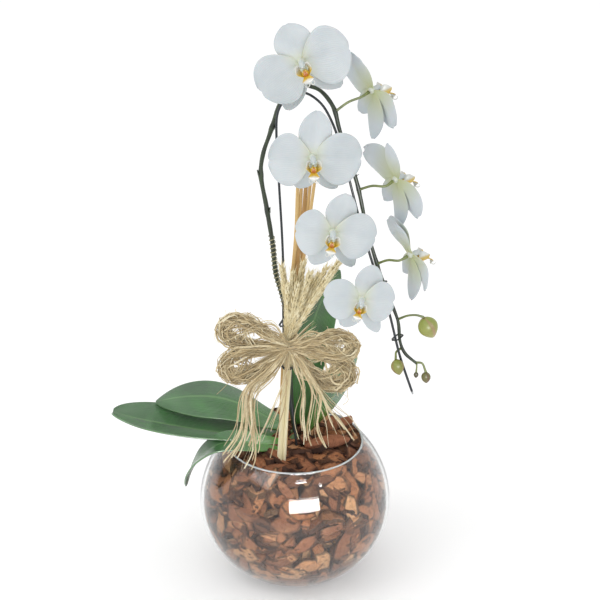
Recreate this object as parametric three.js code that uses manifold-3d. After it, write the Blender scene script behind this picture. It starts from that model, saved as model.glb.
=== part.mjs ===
// A moth orchid in a clear glass fish bowl filled with bark chips, in millimetres, +Z up.
// The origin is the middle of the bowl's flat base, and the orchid's front looks along -Y.
// The plant's arched spike follows a bent support wire. A bundle of wheat and straw,
// tied with a raffia bow, stands in front of it.
import * as THREE from 'three';
import { mergeVertices } from 'three/addons/utils/BufferGeometryUtils.js';
import Module from 'manifold-3d';

const wasm = await Module();
wasm.setup();

// Driving dimensions
const BOWL_RADIUS = 100;
const BOWL_EQUATOR = 80;
const BOWL_LOWER_HALF = 89;
const RIM_HEIGHT = 151.5;
const GLASS_WALL = 3;
const GLASS_FLOOR = 5;
const FACET_DEPTH = 1.9;
const GAP = 0.35;
const BARK_TOP = 146;
const CHIP_LENGTH = 38;
const CHIP_THICKNESS = 6;
const PETAL_THICKNESS = 0.9;
const LEAF_THICKNESS = 1.8;
const SPIKE_FOOT_RADIUS = 2.9;
const SPIKE_TIP_RADIUS = 1.6;
const WIRE_RADIUS = 1.2;
const STRAW_RADIUS = 1.5;
const RAFFIA_THICKNESS = 0.8;
const SLIVER = 0.12;

const DEGREE = Math.PI / 180;
const point = (x, y, z) => new THREE.Vector3(x, y, z);

// Repeatable draws between two numbers
function drawer(seed) {
  let state = seed;
  return (low, high) => {
    state = (state * 1664525 + 1013904223) % 4294967296;
    return low + (high - low) * (state / 4294967296);
  };
}

// Finishes
const finish = (color, roughness) =>
  new THREE.MeshStandardMaterial({ color, roughness, metalness: 0 });
const FINISH = {
  glass: new THREE.MeshStandardMaterial({
    color: 0xeaf2f2,
    roughness: 0.03,
    metalness: 0,
    transparent: true,
    opacity: 0.25,
  }),
  bark: finish(0x96603f, 0.9),
  crown: finish(0x55702f, 0.6),
  leaf: finish(0x2f5c38, 0.35),
  spike: finish(0x46523a, 0.5),
  petal: finish(0xe9ecee, 0.5),
  lip: finish(0xd0a830, 0.45),
  bud: finish(0x9aa556, 0.5),
  wire: finish(0x1f2a2e, 0.45),
  clip: finish(0x1b2622, 0.5),
  twine: finish(0xb9ad86, 0.9),
  wheat: finish(0xd2b98c, 0.85),
  straw: finish(0xc39b5c, 0.7),
  raffia: finish(0xbda57c, 0.9),
};

// Joining and cutting
function toSolid(geometry) {
  const bare = geometry.clone();
  bare.deleteAttribute('normal');
  bare.deleteAttribute('uv');
  const merged = mergeVertices(bare, 1e-4);
  const corners = merged.index.array;
  const spots = merged.attributes.position;
  const [first, second, third] = [point(0, 0, 0), point(0, 0, 0), point(0, 0, 0)];
  const kept = [];
  let volume = 0;
  for (let i = 0; i < corners.length; i += 3) {
    const [a, b, c] = [corners[i], corners[i + 1], corners[i + 2]];
    if (a === b || b === c || c === a) continue;
    kept.push(a, b, c);
    first.fromBufferAttribute(spots, a);
    second.fromBufferAttribute(spots, b);
    third.fromBufferAttribute(spots, c);
    volume += first.dot(second.cross(third));
  }
  if (volume < 0) kept.reverse();
  return new wasm.Manifold(new wasm.Mesh({
    numProp: 3,
    vertProperties: Float32Array.from(merged.attributes.position.array),
    triVerts: Uint32Array.from(kept),
  }));
}

function toGeometry(solid) {
  const mesh = solid.simplify(SLIVER).getMesh();
  const geometry = new THREE.BufferGeometry();
  geometry.setAttribute('position', new THREE.BufferAttribute(mesh.vertProperties, 3));
  geometry.setIndex(new THREE.BufferAttribute(mesh.triVerts, 1));
  geometry.computeVertexNormals();
  return geometry;
}

const fuse = (solids) => solids.reduce((whole, solid) => whole.add(solid));

// The biggest body of a solid: what a cut leaves loose is dropped
function mainBody(solid) {
  const bodies = solid.decompose();
  return bodies.reduce((best, body) => (body.volume() > best.volume() ? body : best));
}

// A straight or curved round stem that tapers, an extrusion of a circle along its path
function stemGeometry(path, footRadius, tipRadius, sides, steps) {
  const circle = new THREE.Shape();
  for (let i = 0; i < sides; i += 1) {
    const turn = (i / sides) * Math.PI * 2;
    if (i === 0) circle.moveTo(1, 0);
    else circle.lineTo(Math.cos(turn), Math.sin(turn));
  }
  circle.closePath();
  const geometry = new THREE.ExtrudeGeometry(circle, {
    steps,
    bevelEnabled: false,
    extrudePath: path,
  });
  const centres = path.getSpacedPoints(steps);
  const corner = new THREE.Vector3();
  const position = geometry.attributes.position;
  for (let i = 0; i < position.count; i += 1) {
    corner.fromBufferAttribute(position, i);
    let nearest = 0;
    for (let k = 1; k <= steps; k += 1) {
      const closer = corner.distanceTo(centres[k]) < corner.distanceTo(centres[nearest]);
      if (closer) nearest = k;
    }
    const radius = THREE.MathUtils.lerp(footRadius, tipRadius, nearest / steps);
    corner.sub(centres[nearest]).setLength(radius).add(centres[nearest]);
    position.setXYZ(i, corner.x, corner.y, corner.z);
  }
  return geometry;
}

const smoothPath = (points) => new THREE.CatmullRomCurve3(points, false, 'centripetal');
const stem = (points, foot, tip, sides, steps) =>
  toSolid(stemGeometry(smoothPath(points), foot, tip, sides, steps));

// A thin closed blade: place(u, v) gives its middle surface, with u from -1 to 1 across it and
// v from 0 at the foot to 1 at the tip. Both faces are split into triangles alike.
function bladeGeometry(across, along, thickness, place, rowAt = (share) => share) {
  const step = 0.01;
  const middle = [];
  const normals = [];
  for (let j = 0; j <= along; j += 1) {
    for (let i = 0; i <= across; i += 1) {
      const u = (2 * i) / across - 1;
      const v = rowAt(j / along);
      const tangentU = place(u + step, v).sub(place(u - step, v));
      const above = Math.min(v + step, 1);
      const below = Math.max(v - step, 0);
      const tangentV = place(u, above).sub(place(u, below));
      middle.push(place(u, v));
      normals.push(tangentU.cross(tangentV).normalize().multiplyScalar(thickness / 2));
    }
  }
  const count = middle.length;
  const positions = [];
  middle.forEach((spot, i) => positions.push(...spot.clone().add(normals[i]).toArray()));
  middle.forEach((spot, i) => positions.push(...spot.clone().sub(normals[i]).toArray()));
  const index = [];
  const at = (i, j) => j * (across + 1) + i;
  for (let j = 0; j < along; j += 1) {
    for (let i = 0; i < across; i += 1) {
      const [a, b, c, d] = [at(i, j), at(i + 1, j), at(i + 1, j + 1), at(i, j + 1)];
      index.push(a, b, c, a, c, d);
      index.push(a + count, c + count, b + count, a + count, d + count, c + count);
    }
  }
  const wall = (a, b) => index.push(b, a, a + count, b, a + count, b + count);
  for (let i = 0; i < across; i += 1) {
    wall(at(i, 0), at(i + 1, 0));
    wall(at(i + 1, along), at(i, along));
  }
  for (let j = 0; j < along; j += 1) {
    wall(at(across, j), at(across, j + 1));
    wall(at(0, j + 1), at(0, j));
  }
  const geometry = new THREE.BufferGeometry();
  geometry.setAttribute('position', new THREE.Float32BufferAttribute(positions, 3));
  geometry.setIndex(index);
  return geometry;
}

const towardsTip = (share) => Math.sin((share * Math.PI) / 2);

const part = new THREE.Group();
function addMesh(name, solid, material, parent = part) {
  const mesh = new THREE.Mesh(toGeometry(solid), material);
  mesh.name = name;
  parent.add(mesh);
}

// Glass bowl: the radius of its outside at a height
function bowlRadius(height) {
  const offset = height - BOWL_EQUATOR;
  const halfAxis = offset < 0 ? BOWL_LOWER_HALF : BOWL_RADIUS;
  return BOWL_RADIUS * Math.sqrt(Math.max(0, 1 - (offset / halfAxis) ** 2));
}

// The radius that is free inside the glass at a height
const insideRadius = (height) => bowlRadius(height) - GLASS_WALL - FACET_DEPTH;

function makeBowl() {
  const rimSteps = 3;
  const bands = 8;
  const profile = [new THREE.Vector2(0, 0)];
  for (let i = 0; i <= bands; i += 1) {
    const height = (RIM_HEIGHT - GLASS_WALL / 2) * (1 - Math.cos((Math.PI * i) / bands)) * 0.5;
    profile.push(new THREE.Vector2(bowlRadius(height), height));
  }
  const rimTop = RIM_HEIGHT - GLASS_WALL / 2;
  const rimMiddle = bowlRadius(rimTop) - GLASS_WALL / 2;
  for (let i = 1; i < rimSteps; i += 1) {
    const turn = (Math.PI * i) / rimSteps;
    profile.push(new THREE.Vector2(
      rimMiddle + (GLASS_WALL / 2) * Math.cos(turn),
      rimTop + (GLASS_WALL / 2) * Math.sin(turn),
    ));
  }
  for (let i = 0; i <= bands; i += 1) {
    const share = (1 + Math.cos((Math.PI * i) / bands)) * 0.5;
    const height = GLASS_FLOOR + (rimTop - GLASS_FLOOR) * share;
    profile.push(new THREE.Vector2(bowlRadius(height) - GLASS_WALL, height));
  }
  profile.push(new THREE.Vector2(0, GLASS_FLOOR));
  return toSolid(new THREE.LatheGeometry(profile, 24).rotateX(90 * DEGREE));
}

addMesh('glass_bowl', makeBowl(), FINISH.glass);

// Routes of the plant's parts
const SPIKE_ROUTE = [
  point(3, 11, 128), point(1.5, 10, 146), point(-3, 9, 180), point(-6.4, 8, 256),
  point(-11.3, 7, 306.7), point(-18.6, 6, 335.6), point(-22, 5, 370.4),
  point(-27.4, 3, 408.2), point(-32.6, 0.5, 444.5), point(-29.9, -1.5, 465.4),
  point(-23.3, -5, 486.3), point(-14.9, -14, 515.5), point(-8.7, -20, 530),
  point(0.7, -27, 539.9), point(9, -33, 542.6), point(17.3, -39, 542.6),
  point(25, -45, 540.2), point(35.9, -57, 528.8), point(40.9, -66, 512.1),
  point(47.3, -72, 493), point(57.5, -81, 464.3), point(66.1, -90, 426.5),
  point(72.8, -94, 402.2), point(78.6, -96, 384), point(86.4, -98, 361.5),
  point(97.2, -100, 333.5), point(99.8, -100.5, 311.9), point(104.6, -101, 300.4),
  point(116.3, -101, 289.3),
];
const WIRE_ROUTE = [
  point(7, -17, 40), point(6, -17, 154), point(-4, -9, 212), point(-10.9, -3, 260.8),
  point(-11.5, -2.5, 357.5),
  point(-15.1, -6, 438.5), point(-17, -11, 481.5), point(-15.4, -20, 512.4),
  point(-6.8, -30, 529.7), point(2.5, -39, 537), point(11, -47, 538),
  point(19, -54, 534), point(25.7, -61, 528), point(35.2, -73, 511.7),
  point(44.4, -81, 486.1), point(52.8, -89, 460), point(61.2, -97, 429.3),
  point(69.8, -102, 401.2), point(77.5, -104, 376.9), point(88.3, -106, 345.2),
  point(92.9, -107, 327.1), point(99, -107, 302.1), point(113, -104, 258.5),
];
const SPIKE_STEPS = 36;
const spikePath = smoothPath(SPIKE_ROUTE);
const wirePath = smoothPath(WIRE_ROUTE);

// The space that a stem's foot takes up, with a gap round it and below it
function footSpace(path, radius, share) {
  const samples = 7;
  const points = [];
  for (let i = 0; i <= samples; i += 1) points.push(path.getPointAt((share * i) / samples));
  const direction = points[0].clone().sub(points[1]).normalize();
  points[0].addScaledVector(direction, GAP + 0.3);
  const clear = (radius + GAP + 0.2) / Math.cos(Math.PI / 6);
  return stem(points, clear, clear, 6, samples);
}

// Petals and sepals, as half widths against the distance from the foot
const petalOutline = (v) => (v < 0.52
  ? 0.17 + 0.83 * Math.sin((Math.PI / 2) * (v / 0.52)) ** 0.85
  : Math.sqrt(1 - ((v - 0.52) / 0.49) ** 2));
const sepalOutline = (v) => (v < 0.5
  ? 0.32 + 0.68 * Math.sin((Math.PI / 2) * (v / 0.5))
  : (1 - ((v - 0.5) / 0.51) ** 2) ** 0.62);

const BLADE_FOOT = 1.5;
function tepal({ angle, length, width, back, cup, layer, isPetal }) {
  const axis = point(Math.sin(angle * DEGREE), Math.cos(angle * DEGREE), 0);
  const side = point(Math.cos(angle * DEGREE), -Math.sin(angle * DEGREE), 0);
  const outline = isPetal ? petalOutline : sepalOutline;
  const place = (u, v) => {
    const reach = BLADE_FOOT + (length - BLADE_FOOT) * v;
    const half = (width / 2) * outline(v);
    const rise = layer * Math.min(1, v * 3) - back * v ** 2 + cup * (u * outline(v)) ** 2;
    return axis.clone().multiplyScalar(reach)
      .addScaledVector(side, u * half)
      .add(point(0, 0, rise));
  };
  const across = isPetal ? 4 : 2;
  const along = isPetal ? 4 : 3;
  return toSolid(bladeGeometry(across, along, PETAL_THICKNESS, place, towardsTip));
}

// Blooms: where each one's heart is, which way it faces, and its five tepals: the angle from
// the top, clockwise as seen from the front, the length, the width and how far the tip bends
// back. A turn of 0 faces -Y and of 90 faces +X.
const HEART_RADIUS = 3.8;
const BLOOMS = [
  {
    centre: [6.5, -62, 573.5], turn: 0, lift: 0, lipTurn: -27, lipScale: 1.05,
    dorsal: [-23, 36, 36, 2], petals: [[-129, 47, 52, 3], [75, 45, 56, 3]],
    sepals: [[-165, 42, 24, 4], [123, 43, 25, 4]],
  },
  {
    centre: [16.5, -98, 495.5], turn: 6, lift: 0, lipTurn: 2, lipScale: 1,
    dorsal: [7, 42, 31, 3], petals: [[-93, 40, 51, 2], [95, 45, 51, 3]],
    sepals: [[-158, 34, 24, 5], [146, 40, 20, 5]],
  },
  {
    centre: [35, -113, 429], turn: 4, lift: 0, lipTurn: 14, lipScale: 0.95,
    dorsal: [23, 37, 29, 4], petals: [[-88, 34, 46, 2], [100, 40, 46, 2]],
    sepals: [[-152, 38, 25, 4], [152, 42, 18, 5]],
  },
  {
    centre: [62, -122, 366.5], turn: 0, lift: 0, lipTurn: 20, lipScale: 0.85,
    dorsal: [21, 33, 26, 3], petals: [[-88, 35, 42, 2], [98, 30, 42, 2]],
    sepals: [[-150, 35, 22, 4], [157, 40, 16, 5]],
  },
  {
    centre: [71.1, -50, 543.2], turn: 125, lift: 20, lipTurn: 5, lipScale: 1,
    dorsal: [16, 41, 24, 3], petals: [[-138, 40, 38, 6], [62, 38, 46, 2]],
    sepals: [[-178, 44, 25, 14], [140, 36, 20, 4]],
  },
  {
    centre: [93.2, -80, 467.8], turn: 125, lift: 20, lipTurn: 3, lipScale: 0.95,
    dorsal: [-12, 44, 20, 1], petals: [[-138, 41, 38, 6], [60, 43, 44, 3]],
    sepals: [[-178, 46, 24, 12], [140, 36, 19, 4]],
  },
  {
    centre: [107.7, -98, 400.4], turn: 114, lift: 18, lipTurn: 3, lipScale: 0.9,
    dorsal: [10, 34, 21, 2], petals: [[-135, 36, 36, 6], [46, 41, 42, 2]],
    sepals: [[-178, 43, 26, 12], [142, 34, 18, 3]],
  },
];

// The turned frame that a bloom's petals are drawn in: x to the viewer's right, y up and
// z towards the viewer
function bloomPose({ centre, turn, lift }) {
  const pose = new THREE.Group();
  const facing = point(
    Math.sin(turn * DEGREE) * Math.cos(lift * DEGREE),
    -Math.cos(turn * DEGREE) * Math.cos(lift * DEGREE),
    Math.sin(lift * DEGREE),
  );
  const right = point(0, 0, 1).cross(facing).normalize();
  const up = facing.clone().cross(right);
  pose.setRotationFromMatrix(new THREE.Matrix4().makeBasis(right, up, facing));
  pose.position.set(...centre);
  pose.updateMatrixWorld();
  return pose;
}

function makeBloom({ dorsal, petals, sepals, lipTurn }) {
  const blade = (row, layer, cup, isPetal) => tepal({
    angle: row[0], length: row[1], width: row[2], back: row[3], layer, cup, isPetal,
  });
  const heart = new THREE.SphereGeometry(HEART_RADIUS, 6, 4);
  heart.translate(0, 0, -0.4);
  const column = new THREE.CapsuleGeometry(2.9, 6.5, 1, 5);
  column.rotateX(90 * DEGREE + 8 * DEGREE);
  column.translate(0, -1.2, 5.6);
  column.rotateZ(-lipTurn * DEGREE);
  return fuse([
    toSolid(heart),
    toSolid(column),
    blade(dorsal, -1.4, 1.6, false),
    ...sepals.map((row) => blade(row, -1.6, 1.4, false)),
    blade(petals[0], 1.2, 1.9, true),
    blade(petals[1], 1.2, 1.9, true),
  ]);
}

// The lip: a claw, two raised side lobes, an arrow-shaped middle lobe with its two
// tendrils
function makeLip({ lipTurn, lipScale }) {
  const clawRoute = [point(0, -6.4, 4.6), point(0, -8.8, 7.5), point(0, -10.6, 11.5)];
  const claw = stem(clawRoute, 1.3, 1.7, 4, 2);
  const sideLobe = (side) => toSolid(bladeGeometry(2, 2, 1, (u, v) => {
    const half = 2.4 + 2.7 * Math.sin(Math.PI * (0.12 + 0.76 * v));
    const outward = 1.6 + 4.6 * Math.sin((Math.PI / 2) * Math.min(1, v * 1.5)) - 1.2 * v ** 3;
    return point(side * (outward - 0.8 * u * u * v), -10.8 + 11 * v, 9.6 + u * half + 0.8 * v);
  }));
  const middleWidth = (v) => (v < 0.6 ? 2.2 + 3.6 * (v / 0.6) ** 2 : 5.8 * (1 - (v - 0.6) / 0.48));
  const middleLobe = toSolid(bladeGeometry(2, 2, 1.1, (u, v) => point(
    u * middleWidth(v),
    -9.6 - 8.2 * v + 1.2 * u * u,
    10.8 + 6.5 * Math.sin(v * 2.2),
  )));
  const tendril = (side) => stem([
    point(side * 0.4, -17.4, 15.4), point(side * 2.6, -18.6, 18), point(side * 4.6, -15.8, 19.2),
  ], 0.7, 0.5, 3, 2);
  const lip = fuse([
    claw, sideLobe(-1), sideLobe(1), middleLobe, tendril(-1), tendril(1),
  ]);
  const shift = (1 - lipScale) * 7;
  return lip.scale([lipScale, lipScale, lipScale])
    .translate([0, -shift, shift])
    .rotate([0, 0, -lipTurn]);
}

// Flower spike: the arched stem, a pedicel to each bloom and bud, and its nodes
const PEDICEL_RADIUS = 1.3;
const pedicelEnds = [];
BLOOMS.forEach((bloom, i) => {
  const pose = bloomPose(bloom);
  const number = i + 1;
  addMesh(`bloom_${number}`, makeBloom(bloom), FINISH.petal, pose);
  addMesh(`lip_${number}`, makeLip(bloom), FINISH.lip, pose);
  part.add(pose);
  const behind = (distance) => pose.localToWorld(point(0, 0, -distance));
  pedicelEnds.push([behind(HEART_RADIUS + 0.4 + GAP), behind(HEART_RADIUS + 9)]);
});

// Where each pedicel leaves the spike, as a share of the spike's length
const PEDICEL_ROOTS = [0.575, 0.702, 0.798, 0.897, 0.652, 0.753, 0.85];
const spikeRadiusAt = (share) =>
  THREE.MathUtils.lerp(SPIKE_FOOT_RADIUS, SPIKE_TIP_RADIUS, share);
const pedicels = PEDICEL_ROOTS.map((root, i) => {
  const [end, before] = pedicelEnds[i];
  const start = spikePath.getPointAt(root);
  const middle = start.clone().lerp(before, 0.5).add(point(0, 0, 2));
  return stem([start, middle, before, end], PEDICEL_RADIUS, PEDICEL_RADIUS, 4, 4);
});

const BUDS = [
  {
    centre: [125.2, -104, 329.5], length: 23, width: 19,
    route: [[97.4, -99, 335], [106, -101, 339.5], [114, -103, 341], [120.2, -104, 339.7]],
  },
  {
    centre: [97.6, -112, 290.2], length: 16, width: 12.5,
    route: [[100.6, -100, 305], [96, -105, 303.5], [95.4, -110, 299.6]],
  },
  {
    centre: [125, -104, 276], length: 12, width: 9,
    route: [[115.9, -101, 290.6], [121, -102.4, 290.4], [124.4, -104, 282.9]],
  },
  {
    centre: [115.6, -103.2, 278.6], length: 6.4, width: 4.6,
    route: [[115.9, -101, 290.4], [116, -102.4, 286.5], [115.7, -103.1, 282.5]],
  },
];
const budStems = BUDS.map(({ route }) =>
  stem(route.map((spot) => point(...spot)), 1.3, 1.1, 4, 3));

BUDS.forEach(({ centre, length, width, route }, i) => {
  const end = point(...route[route.length - 1]);
  const axis = point(...centre).sub(end).normalize();
  const profile = [];
  for (let k = 0; k <= 5; k += 1) {
    const share = k / 5;
    const radius = (width / 2) * Math.sin(Math.PI * share ** 0.85) ** 0.75;
    profile.push(new THREE.Vector2(k === 0 || k === 5 ? 0 : radius, length * share));
  }
  const bud = new THREE.LatheGeometry(profile, 7);
  bud.applyQuaternion(new THREE.Quaternion().setFromUnitVectors(point(0, 1, 0), axis));
  const seat = end.clone().addScaledVector(axis, GAP + 0.5);
  bud.translate(seat.x, seat.y, seat.z);
  addMesh(`bud_${i + 1}`, toSolid(bud), FINISH.bud);
});

const NODE_SHARES = [0.375, 0.43, 0.5];
const nodeRings = NODE_SHARES.map((share) => {
  const ring = new THREE.OctahedronGeometry(spikeRadiusAt(share) + 1.8);
  const spot = spikePath.getPointAt(share);
  ring.translate(spot.x, spot.y, spot.z);
  return toSolid(ring);
});
const spike = fuse([
  toSolid(stemGeometry(spikePath, SPIKE_FOOT_RADIUS, SPIKE_TIP_RADIUS, 6, SPIKE_STEPS)),
  ...pedicels, ...budStems, ...nodeRings,
]);
addMesh('flower_spike', spike, FINISH.spike);

// Support wire and the clips that hold the spike to it
addMesh(
  'support_wire',
  toSolid(stemGeometry(wirePath, WIRE_RADIUS, WIRE_RADIUS, 5, 34)),
  FINISH.wire,
);

function nearestOn(path, spot) {
  let best = 0;
  const samples = 400;
  for (let i = 0; i <= samples; i += 1) {
    const closer = path.getPointAt(i / samples).distanceTo(spot)
      < path.getPointAt(best).distanceTo(spot);
    if (closer) best = i / samples;
  }
  return path.getPointAt(best);
}

const CLIP_SHARES = [0.212, 0.59, 0.735, 0.876, 0.952];
const CLIP_CLEARANCE = 1.2;
const CLIP_WALL = 1.1;
const CLIP_HEIGHT = 2.4;
CLIP_SHARES.forEach((share, i) => {
  const onSpike = spikePath.getPointAt(share);
  const along = spikePath.getTangentAt(share);
  const onWire = nearestOn(wirePath, onSpike);
  const across = onWire.clone().sub(onSpike);
  across.addScaledVector(along, -across.dot(along));
  const reach = across.length();
  across.normalize();
  const stadium = (shape, low, high, lowRadius, highRadius) => {
    shape.absarc(high, 0, highRadius, -Math.PI / 2, Math.PI / 2, false);
    shape.absarc(low, 0, lowRadius, Math.PI / 2, (Math.PI * 3) / 2, false);
    shape.closePath();
    return shape;
  };
  const inner = spikeRadiusAt(share) + GAP + CLIP_CLEARANCE;
  const band = stadium(new THREE.Shape(), 0, reach, inner + CLIP_WALL, inner + CLIP_WALL);
  band.holes.push(stadium(new THREE.Path(), 0, reach, inner, inner));
  const clip = new THREE.ExtrudeGeometry(band, {
    depth: CLIP_HEIGHT, bevelEnabled: false, curveSegments: 2,
  });
  clip.translate(0, 0, -CLIP_HEIGHT / 2);
  const third = along.clone().cross(across);
  clip.applyMatrix4(new THREE.Matrix4().makeBasis(across, third, along));
  clip.translate(onSpike.x, onSpike.y, onSpike.z);
  addMesh(`clip_${i + 1}`, toSolid(clip), FINISH.clip);
});

// Twine wound up the low part of the spike
const WRAP_FROM = 0.235;
const WRAP_TO = 0.34;
const WRAP_TURNS = 5;
const WRAP_CLEARANCE = 1.1;
function makeWrap() {
  const place = (u, v) => {
    const share = THREE.MathUtils.lerp(WRAP_FROM, WRAP_TO, v);
    const centre = spikePath.getPointAt(share);
    const along = spikePath.getTangentAt(share);
    const first = along.clone().cross(point(0, 1, 0)).normalize();
    const second = along.clone().cross(first);
    const turn = v * WRAP_TURNS * Math.PI * 2;
    const radius = spikeRadiusAt(share) + GAP + WRAP_CLEARANCE;
    return centre
      .addScaledVector(first, radius * Math.cos(turn))
      .addScaledVector(second, radius * Math.sin(turn))
      .addScaledVector(along, u * 1.2);
  };
  return toSolid(bladeGeometry(1, WRAP_TURNS * 8, 0.8, place));
}
addMesh('stem_twine', makeWrap(), FINISH.twine);

// Leaves: a midrib route, the widest half width, and the way the blade's face is turned
const leafOutline = (v, foot, blunt) => (v < 0.55
  ? foot + (1 - foot) * Math.sin((Math.PI / 2) * (v / 0.55))
  : (1 - ((v - 0.55) / 0.455) ** blunt) ** (1.4 / blunt));
const LEAVES = [
  {
    name: 'leaf_1', half: 28.5, foot: 0.3, side: [0, 1, 0.05], fold: 7.5, wave: 1, blunt: 3,
    route: [
      [-13.5, 0, 153], [-45, -3, 157], [-90, -5, 163], [-135.3, -4, 171], [-165, -2, 176.5],
      [-188.1, 0, 182.5],
    ],
  },
  {
    name: 'leaf_2', half: 29.5, foot: 0.28, side: [0, 1, 0.23], fold: -3.5, wave: 1, blunt: 2,
    route: [
      [-12.5, 10, 163], [-30, 16, 168.5], [-55, 20, 180.5], [-83.4, 22, 188.5],
      [-118, 21, 189], [-144.8, 20, 184],
    ],
  },
  {
    name: 'leaf_3', half: 17, foot: 0.45, side: [0.3, 1, 0.25], fold: 3, wave: 0.6, blunt: 2,
    route: [
      [-9, -15, 154], [-30, -22, 159], [-56, -28, 163], [-78, -31, 161.5], [-96, -33, 149],
      [-106, -33, 133], [-112, -33, 115],
    ],
  },
  {
    name: 'leaf_4', half: 24, foot: 0.35, side: [0.93, 0.35, 0.1], fold: 4, wave: 1, blunt: 2,
    route: [[4.5, 19, 158], [7, 24, 190], [12, 30, 240], [24, 37, 285], [44.5, 42, 325]],
  },
  {
    name: 'leaf_5', half: 21, foot: 0.35, side: [0.75, 0.6, 0.1], fold: 4, wave: 1, blunt: 2,
    route: [[13, 6, 156], [26, 9, 174], [42, 13, 201], [53, 16, 228], [60, 18, 255]],
  },
];

function leafPlace({ route, half, foot, side, fold, wave, blunt }, grow) {
  const path = smoothPath(route.map((spot) => point(...spot)));
  const hint = point(...side).normalize();
  const faceSign = path.getTangentAt(0).cross(hint).z < 0 ? -1 : 1;
  return (u, v) => {
    const spot = path.getPointAt(v);
    const along = path.getTangentAt(v);
    if (v === 0) spot.addScaledVector(along, -grow);
    if (v === 1) spot.addScaledVector(along, grow);
    const across = hint.clone().addScaledVector(along, -hint.dot(along)).normalize();
    const face = along.clone().cross(across).normalize().multiplyScalar(faceSign);
    const outline = leafOutline(v, foot, blunt);
    const width = half * outline + grow;
    const lift = fold * Math.abs(u) ** 1.4 * outline
      + wave * Math.sin(v * 9 + u * 1.5) * u * u;
    return spot.addScaledVector(across, u * width).addScaledVector(face, lift);
  };
}

const leafSolid = (leaf, grow) =>
  toSolid(bladeGeometry(4, 8, LEAF_THICKNESS + grow * 2, leafPlace(leaf, grow), towardsTip));
const leafBodies = [];
LEAVES.forEach((leaf) => {
  let body = leafSolid(leaf, 0);
  leafBodies.forEach((lower) => {
    body = mainBody(body.subtract(lower));
  });
  leafBodies.push(leafSolid(leaf, GAP));
  addMesh(leaf.name, body, FINISH.leaf);
});

// Root crown: the short stem that the leaves and the spike grow from
const CROWN_RADIUS = 11;
function crownGeometry(grow) {
  const profile = [
    [0, 112 - grow], [4 + grow, 113 - grow], [7.5 + grow, 122], [CROWN_RADIUS + grow, 138],
    [CROWN_RADIUS - 1.5 + grow, 148], [5.5 + grow, 156 + grow], [0, 159 + grow],
  ];
  const crown = new THREE.LatheGeometry(
    profile.map(([radius, height]) => new THREE.Vector2(radius, height)),
    8,
  );
  crown.rotateX(90 * DEGREE);
  return crown;
}
const spikeHole = footSpace(spikePath, SPIKE_FOOT_RADIUS, 0.12);
const crownBody = leafBodies.reduce(
  (body, leaf) => body.subtract(leaf),
  toSolid(crownGeometry(0)).subtract(spikeHole),
);
addMesh('root_crown', mainBody(crownBody), FINISH.crown);

// Wheat bundle: straws from the bark up through the tie, and ears that fan out above it
const BUNDLE_FOOT = point(-14, -42, 118);
const BUNDLE_SURFACE = point(-12.6, -40.8, 160);
const KNOT = point(-5.6, -34, 278.7);
const EARS = [
  [-13.2, -30, 367], [-1.5, -36, 362], [9.6, -30, 370], [17.2, -44, 365], [26.6, -33, 358],
  [45.6, -46, 375], [34, -35, 366], [4.5, -43, 352],
];
const EAR_LENGTH = 74;
const GRAIN_ROWS = 5;
const draw = drawer(11);

// An ear: rows of grains that overlap upwards, as rings in steps round its stalk
function makeEar(tip, foot) {
  const top = point(...tip);
  const axis = top.clone().sub(foot).normalize();
  const start = top.clone().addScaledVector(axis, -EAR_LENGTH);
  const profile = [new THREE.Vector2(0, -3), new THREE.Vector2(1.2, -2)];
  for (let i = 0; i < GRAIN_ROWS; i += 1) {
    const swell = Math.sin(Math.PI * (0.22 + 0.66 * (i / (GRAIN_ROWS - 1))));
    const height = (EAR_LENGTH * (i + 0.75)) / (GRAIN_ROWS + 0.3);
    profile.push(new THREE.Vector2(1.1 + 2.5 * swell, height));
    profile.push(new THREE.Vector2(0.9 + 1.1 * swell, height + 2));
  }
  profile.push(new THREE.Vector2(0, EAR_LENGTH));
  const ear = new THREE.LatheGeometry(profile, 4);
  ear.rotateY(draw(0, Math.PI));
  ear.applyQuaternion(new THREE.Quaternion().setFromUnitVectors(point(0, 1, 0), axis));
  ear.translate(start.x, start.y, start.z);
  return fuse([toSolid(ear), stem([foot, start], 1.4, 1.2, 4, 1)]);
}

// The straws below the ears stand so close that they are one fluted bundle
const STRAWS = 7;
const BUNDLE_RADIUS = 4.9;
const bundlePath = smoothPath([
  BUNDLE_FOOT, BUNDLE_SURFACE, point(-8.8, -37, 222), point(-6.6, -34.8, 253.2),
  KNOT, point(-5, -34, 296),
]);
function makeBundle(radius, fluted) {
  const section = new THREE.Shape();
  for (let i = 0; i < STRAWS * 2; i += 1) {
    const turn = (i / (STRAWS * 2)) * Math.PI * 2;
    const reach = fluted && i % 2 === 1 ? radius - STRAW_RADIUS * 0.7 : radius;
    if (i === 0) section.moveTo(reach, 0);
    else section.lineTo(reach * Math.cos(turn), reach * Math.sin(turn));
  }
  section.closePath();
  return toSolid(new THREE.ExtrudeGeometry(section, {
    steps: 6, bevelEnabled: false, extrudePath: bundlePath,
  }));
}
const ears = EARS.map((tip, i) => {
  const turn = (i / EARS.length) * Math.PI * 2;
  const foot = KNOT.clone().add(point(2.6 * Math.cos(turn), 2.6 * Math.sin(turn), 8));
  return makeEar(tip, foot);
});
const wheat = fuse([makeBundle(BUNDLE_RADIUS, true), ...ears]);
addMesh('wheat_bundle', mainBody(wheat), FINISH.wheat);

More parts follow.
